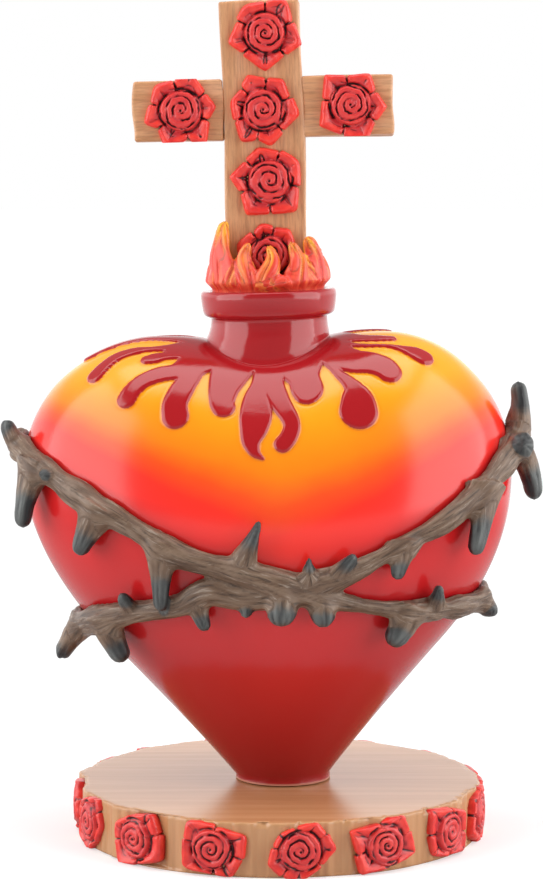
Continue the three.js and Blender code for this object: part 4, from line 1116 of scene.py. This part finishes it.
def board(wide, thick, length, seed, round_off=0.7, step=0.4, row_step=0.7):
    """The section carried along the length and drawn in round both ends, with the grain, saw
    scratches and uneven ends pressed in. Its coordinates are across, depth and along."""
    section = rounded_section(wide, thick, round_off, step)
    ends = [(thick / 2 - 0.05, 0.0), (1.6, 0.0)]
    ends += [(round_off * (1 - math.sin(b)), round_off * (1 - math.cos(b))) for b in np.radians([0, 30, 60])]
    along = np.linspace(round_off, length - round_off, int(length / row_step))
    inset, z = np.array(ends + [(0.0, v) for v in along] + [(i, length - v) for i, v in reversed(ends)]).T
    shrink = np.stack([1 - 2 * inset / wide, 1 - 2 * inset / thick], -1)
    flat = section[None] * np.maximum(shrink, 0.01)[:, None]
    grid = np.concatenate([flat, np.broadcast_to(z[:, None, None], (*flat.shape[:2], 1))], -1)
    slow = wander(grid * [1, 1, 0.25], 14, seed)
    line = wander(grid * [1, 1, 0.06], 2.4, seed + 1)
    scratch = np.exp(-((wander(grid * [1, 1, 0.045], 1.3, seed + 2) / 0.12) ** 2))
    outward = np.zeros_like(grid)
    outward[..., :2] = unit(section * np.array([thick / wide, 1.0]) ** 3)[None]
    press = (0.07 * line - 0.1 * scratch) * shrink.min(1)[:, None]
    to_end = z - length / 2
    at_end = np.sign(to_end) * smooth(np.abs(to_end), length / 2 - 3, length / 2)
    uneven = 0.22 * wander(grid[..., :2], 11, seed + 3) * at_end[:, None]
    grid = grid + outward * press[..., None] + 0.28 * slow[..., None] * np.array([1, 0.4, 0])
    grid[..., 2] += uneven
    return grid


print("post's section", len(rounded_section(POST_WIDTH, CROSS_THICKNESS, 0.7, 0.4)), "points")

# %% Post and arms
def grain_of(grid, seed):
    """Coordinates for the grain's colour: across and depth as they are, along shortened ten times."""
    return with_poles((grid + 100 * seed) * [1, 1, 0.1])


crossing = CROSS_HEIGHT - ARM_DROP - ARM_HEIGHT / 2
post = board(POST_WIDTH, CROSS_THICKNESS, CROSS_HEIGHT, 70)
parts, grains = [shell(post + [0, 0, SEAT])], [grain_of(post, 1)]
for hand in (-1, 1):
    arm = board(ARM_HEIGHT, CROSS_THICKNESS - 0.3, CROSS_SPAN / 2 - POST_WIDTH / 2, 80 + hand)
    x, z = (POST_WIDTH / 2 - 0.1 + arm[..., 2]) * hand, arm[..., 0] * -hand
    parts.append(shell(np.stack([x, arm[..., 1], z + SEAT + crossing], -1)))
    grains.append(grain_of(arm, 3 + hand))
cross_points, cross_triangles = gathered(parts)
print("arms cross the post at", crossing, "mm")

# %% [markdown]
# The wood is resin stained to look like timber: tan, with long brown streaks along the grain,
# and a satin varnish.

# %% Stained timber paint
def timber(name, tones, gloss, darken, press):
    """Tan stain with streaks along the piece's grain, under a varnish of the given roughness."""
    stain, tree, shader = new_paint(name)
    place = add(tree, "Attribute", out="Vector", attribute_name="grain")
    wide = add(tree, "TexNoise", {"Vector": place, "Scale": 0.22, "Detail": 4.0, "Distortion": 0.6})
    narrow = add(tree, "TexNoise", {"Vector": place, "Scale": 1.3, "Detail": 5.0, "Roughness": 0.65})
    tone = add(tree, "ValToRGB", {"Fac": wide}, stops=list(zip((0.3, 0.5, 0.68), tones)))
    lines = add(tree, "MapRange", {"Value": narrow, "From Min": 0.36, "From Max": 0.56,
                                   "To Min": darken, "To Max": 0.0})
    connect(tree, shader, {
        "Base Color": add(tree, "Mix", {"Factor": lines, "A": tone, "B": "#7A4E31"}, data_type="RGBA"),
        "Roughness": add(tree, "MapRange", {"Value": narrow, "To Min": gloss, "To Max": gloss + 0.12}),
        "Normal": add(tree, "Bump", {"Height": narrow, "Strength": press, "Distance": 0.0003}),
        "IOR": 1.5})
    return stain


satin = timber("satin_timber_stain_on_cast_resin", ("#BF875B", "#CE976B", "#D8A57E"), 0.36, 0.38, 0.25)
make_piece("cross_timber", upright(cross_points), cross_triangles, "cross", satin,
           {"grain": np.concatenate(grains)})

# %% Roses on the cross
arm_middle = (CROSS_SPAN + POST_WIDTH) / 4
CROSS_ROSES = [  # across, height, turn, size, petals, half height of a flush cut
    (1.2, crossing + 22.0, 14, 0.98, 5, None), (0.0, crossing - 0.4, 75, 1.0, 6, None),
    (-arm_middle + 0.9, crossing, 40, 1, 6, 9.3), (arm_middle + 0.6, crossing + 0.3, 30, 0.98, 5, 9.3),
    (1.2, crossing - 21.5, 62, 1.04, 5, None), (0.4, crossing - 43.6, 10, 0.95, 6, None)]
roses = []
for row, (across, height, turn, size, petals, limit) in enumerate(CROSS_ROSES):
    grid, wash, thin = rose_grid(100 + row, math.radians(turn), rings=56, spokes=190, petals=petals,
                                 limit=limit, size=size)
    x, y, z = np.moveaxis(grid, -1, 0)
    placed = np.stack([x + across, 0.1 - CROSS_THICKNESS / 2 - z, y + height + SEAT], -1)
    roses.append((upright(placed), wash, thin))
make_roses("cross_roses", "cross", roses)

# %% [markdown]
# ## Plinth
#
# The plinth is a round slab like a slice of a trunk, hewn round its edge, with fifteen roses cast on
# its side and cut off level with its top and bottom. It is turned as a profile round the upright
# axis, and its edge wanders in and out as the solid's does.

# %% Slab
def plinth_radius(angle):
    """The solid's radius: mean, plus the wobble times three sines of whole numbers of waves."""
    waves = np.sin(5 * angle) + 0.7 * np.sin(11 * angle + 1) + 0.5 * np.sin(3 * angle + 2)
    return PLINTH_RADIUS + PLINTH_WOBBLE * waves / 2.2


angle = np.linspace(0, TAU, 720, endpoint=False)
profile = [(-45, 0.0), (-20, 0.0), (-0.6, 0.0), (-0.2, 0.12)]  # inset and height, mm
profile += [(0.0, z) for z in np.linspace(0.5, PLINTH_HEIGHT - 0.6, 22)]
profile += [(-0.12, PLINTH_HEIGHT - 0.25), (-0.45, PLINTH_HEIGHT - 0.05)]
profile += [(-inset, PLINTH_HEIGHT) for inset in (1.0, 2.5, 6, 14, 25, 40, 54)]
inset, z = np.array(profile).T
on_side = ((inset > -0.5) & (z > 0.2))[:, None]
on_edge = ((inset > -0.5) & (z > PLINTH_HEIGHT - 0.8))[:, None]
around = np.stack([np.cos(angle) * 60, np.sin(angle) * 60, 0 * angle], -1)
cuts = np.exp(-((wander(around, 5.0, 93) / 0.14) ** 2))
hewn = 0.7 * wander(around, 13, 91) + 0.28 * wander(around, 3.0, 92) - 0.22 * cuts
chip = np.clip(wander(around, 7, 94) - 0.6, 0, 1)
radius = plinth_radius(angle)[None] + inset[:, None] + on_side * hewn - 1.7 * on_edge * chip
level_z = np.broadcast_to(z[:, None], radius.shape)
slab = np.stack([radius * np.cos(angle), radius * np.sin(angle), level_z], -1)
slab_points, slab_triangles = shell(slab)
print("slab", round(float(2 * radius.max()), 1), "mm wide")

# %% Grain of the slab
side_grain = np.stack([angle[None] * 60 + 0 * radius, 0 * radius, level_z], -1) * [1, 1, 0.1]
top_grain = np.stack([slab[..., 0] * 0.06, slab[..., 1], 40 + 0 * radius], -1)
on_top = ((z > PLINTH_HEIGHT - 0.1) | (inset < -1))[:, None, None]
gloss = timber("gloss_timber_stain_on_cast_resin", ("#B6845A", "#BD8B60", "#C49369"), 0.18, 0.04, 0.02)
make_piece("plinth_slab", slab_points, slab_triangles, "plinth", gloss,
           {"grain": with_poles(np.where(on_top, top_grain, side_grain))})

# %% Roses on the plinth
FIRST_ROSE, PLINTH_ROSES = 5.5, 15  # turn of the rose in front, and their number
FOUR, FOUR_TURNS = {"petals": 4, "corner": 12.0}, (5, 12, -8, 20)
FIVE = {"petals": 5, "corner": 10.8}
roses = []
for row in range(PLINTH_ROSES):
    kind, turn = (FOUR, FOUR_TURNS[row % 4]) if row % 3 else (FIVE, 30)
    grid, wash, thin = rose_grid(200 + row, math.radians(turn), rings=44, spokes=140, **kind,
                                 limit=7.8, waist=8.8, size=1.08, squash=0.76, core=5.4)
    x, y, z = np.moveaxis(grid, -1, 0)
    around = angle_of(FIRST_ROSE + 360 / PLINTH_ROSES * row) + x / PLINTH_RADIUS
    radius = plinth_radius(around) + 0.85 * z - 0.2
    placed = np.stack([radius * np.cos(around), radius * np.sin(around), PLINTH_HEIGHT / 2 + y], -1)
    roses.append((placed, wash, thin))
make_roses("plinth_roses", "plinth", roses)

# %% [markdown]
# ## Studio
#
# The statue stood on white paper between two large soft panels at its sides, with a wide one
# overhead and a bright wall behind, while the room was dim towards the camera. That is what makes
# the pale bands on the neck with a dark strip between them, and the sheen on the plinth's top.

# %% Soft panels
RADIANCE = 3.2


def panel(name, centre, size, turn):
    """A soft panel whose power is its radiance times pi times its area."""
    light = bpy.data.lights.new(name, "AREA")
    light.shape, light.size, light.size_y = "RECTANGLE", size[0], size[1]
    light.energy = RADIANCE * math.pi * size[0] * size[1]
    lamp = bpy.data.objects.new(name, light)
    lamp.location, lamp.rotation_euler = centre, turn
    bpy.context.scene.collection.objects.link(lamp)


panel("left_panel", (-1.1, -0.5, 0.9), (1.3, 1.9), (math.pi / 2, 0, -math.pi / 2))
panel("right_panel", (1.1, -0.5, 0.9), (1.3, 1.9), (math.pi / 2, 0, math.pi / 2))
panel("top_panel", (0, -0.05, 1.6), (1.5, 0.75), (0, 0, 0))
print("lights", len(bpy.data.lights))

# %% White paper
# Paper is matt and white. It glows a little away from the statue, so that it runs into the
# background without a line, and less beneath it, so that a soft shadow stays.
ground = bpy.data.meshes.new("floor")
ground.from_pydata([(-8, -8, 0), (8, -8, 0), (8, 8, 0), (-8, 8, 0)], [], [(0, 1, 2, 3)])
floor = bpy.data.objects.new("floor", ground)
bpy.context.scene.collection.objects.link(floor)
paper, tree, shader = new_paint("matt_white_paper")
place = add(tree, "TexCoord", out="Object")
away = add(tree, "VectorMath", {0: place}, operation="LENGTH")
shown, given, pale = (
    add(tree, "MapRange", {"Value": away, "From Min": 0.13, "From Max": end, "To Min": near, "To Max": far})
    for end, near, far in ((0.4, 0.45, 1.0), (0.7, 0.05, 1.1), (0.4, 0.55, 0.0)))
seen = add(tree, "LightPath", out="Is Camera Ray")
connect(tree, shader, {
    "Base Color": pale,
    "Roughness": 0.9,
    "Emission Color": "#FFFFFF",
    "Emission Strength": add(tree, "Mix", {"Factor": seen, "A": given, "B": shown})})
ground.materials.append(paper)
floor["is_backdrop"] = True
print("paper", len(tree.nodes), "nodes")

# %% Room
# What the statue reflects: dim towards the camera, bright behind it, and dim again high up.
world = bpy.data.worlds.new("room")
bpy.context.scene.world = world
world.use_nodes = True
tree = world.node_tree
way = add(tree, "TexCoord", out="Generated")
back, high = (add(tree, "SeparateXYZ", {0: way}, out=axis) for axis in "YZ")
wall = 1.0
for value, start, end, low, top in ((back, -0.15, 0.22, 0.36, 1.8), (back, 0.55, 0.95, 1.0, 0.78),
                                    (high, 0.25, 0.55, 1.0, 0.35)):
    share = add(tree, "MapRange", {"Value": value, "From Min": start, "From Max": end,
                                   "To Min": low, "To Max": top}, interpolation_type="SMOOTHSTEP")
    wall = add(tree, "Math", {0: share, 1: wall}, operation="MULTIPLY")
seen = add(tree, "LightPath", out="Is Camera Ray")
connect(tree, tree.nodes["Background"], {
    "Strength": add(tree, "Mix", {"Factor": seen, "A": wall, "B": 1.0}), "Color": "#FFFFFF"})
print("room", len(tree.nodes), "nodes")

# %% Camera
lens = bpy.data.cameras.new("camera")
lens.sensor_width, lens.lens = 36, 118.7
camera = bpy.data.objects.new("camera", lens)
camera.location = (-0.0024, -0.869, 0.209)
camera.rotation_euler = (math.radians(90 - 5.88), 0, 0)
bpy.context.scene.collection.objects.link(camera)
bpy.context.scene.camera = camera
bpy.context.scene.view_settings.view_transform = "Standard"
print("camera", round(-1000 * camera.location.y), "mm in front")

# %% Sizes and finish
low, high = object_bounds()
{"cad": [list(cad_low), list(cad_high)], "visual": [list(low), list(high)]}
print("visual", [round(1000 * v, 1) for v in high - low], "mm")
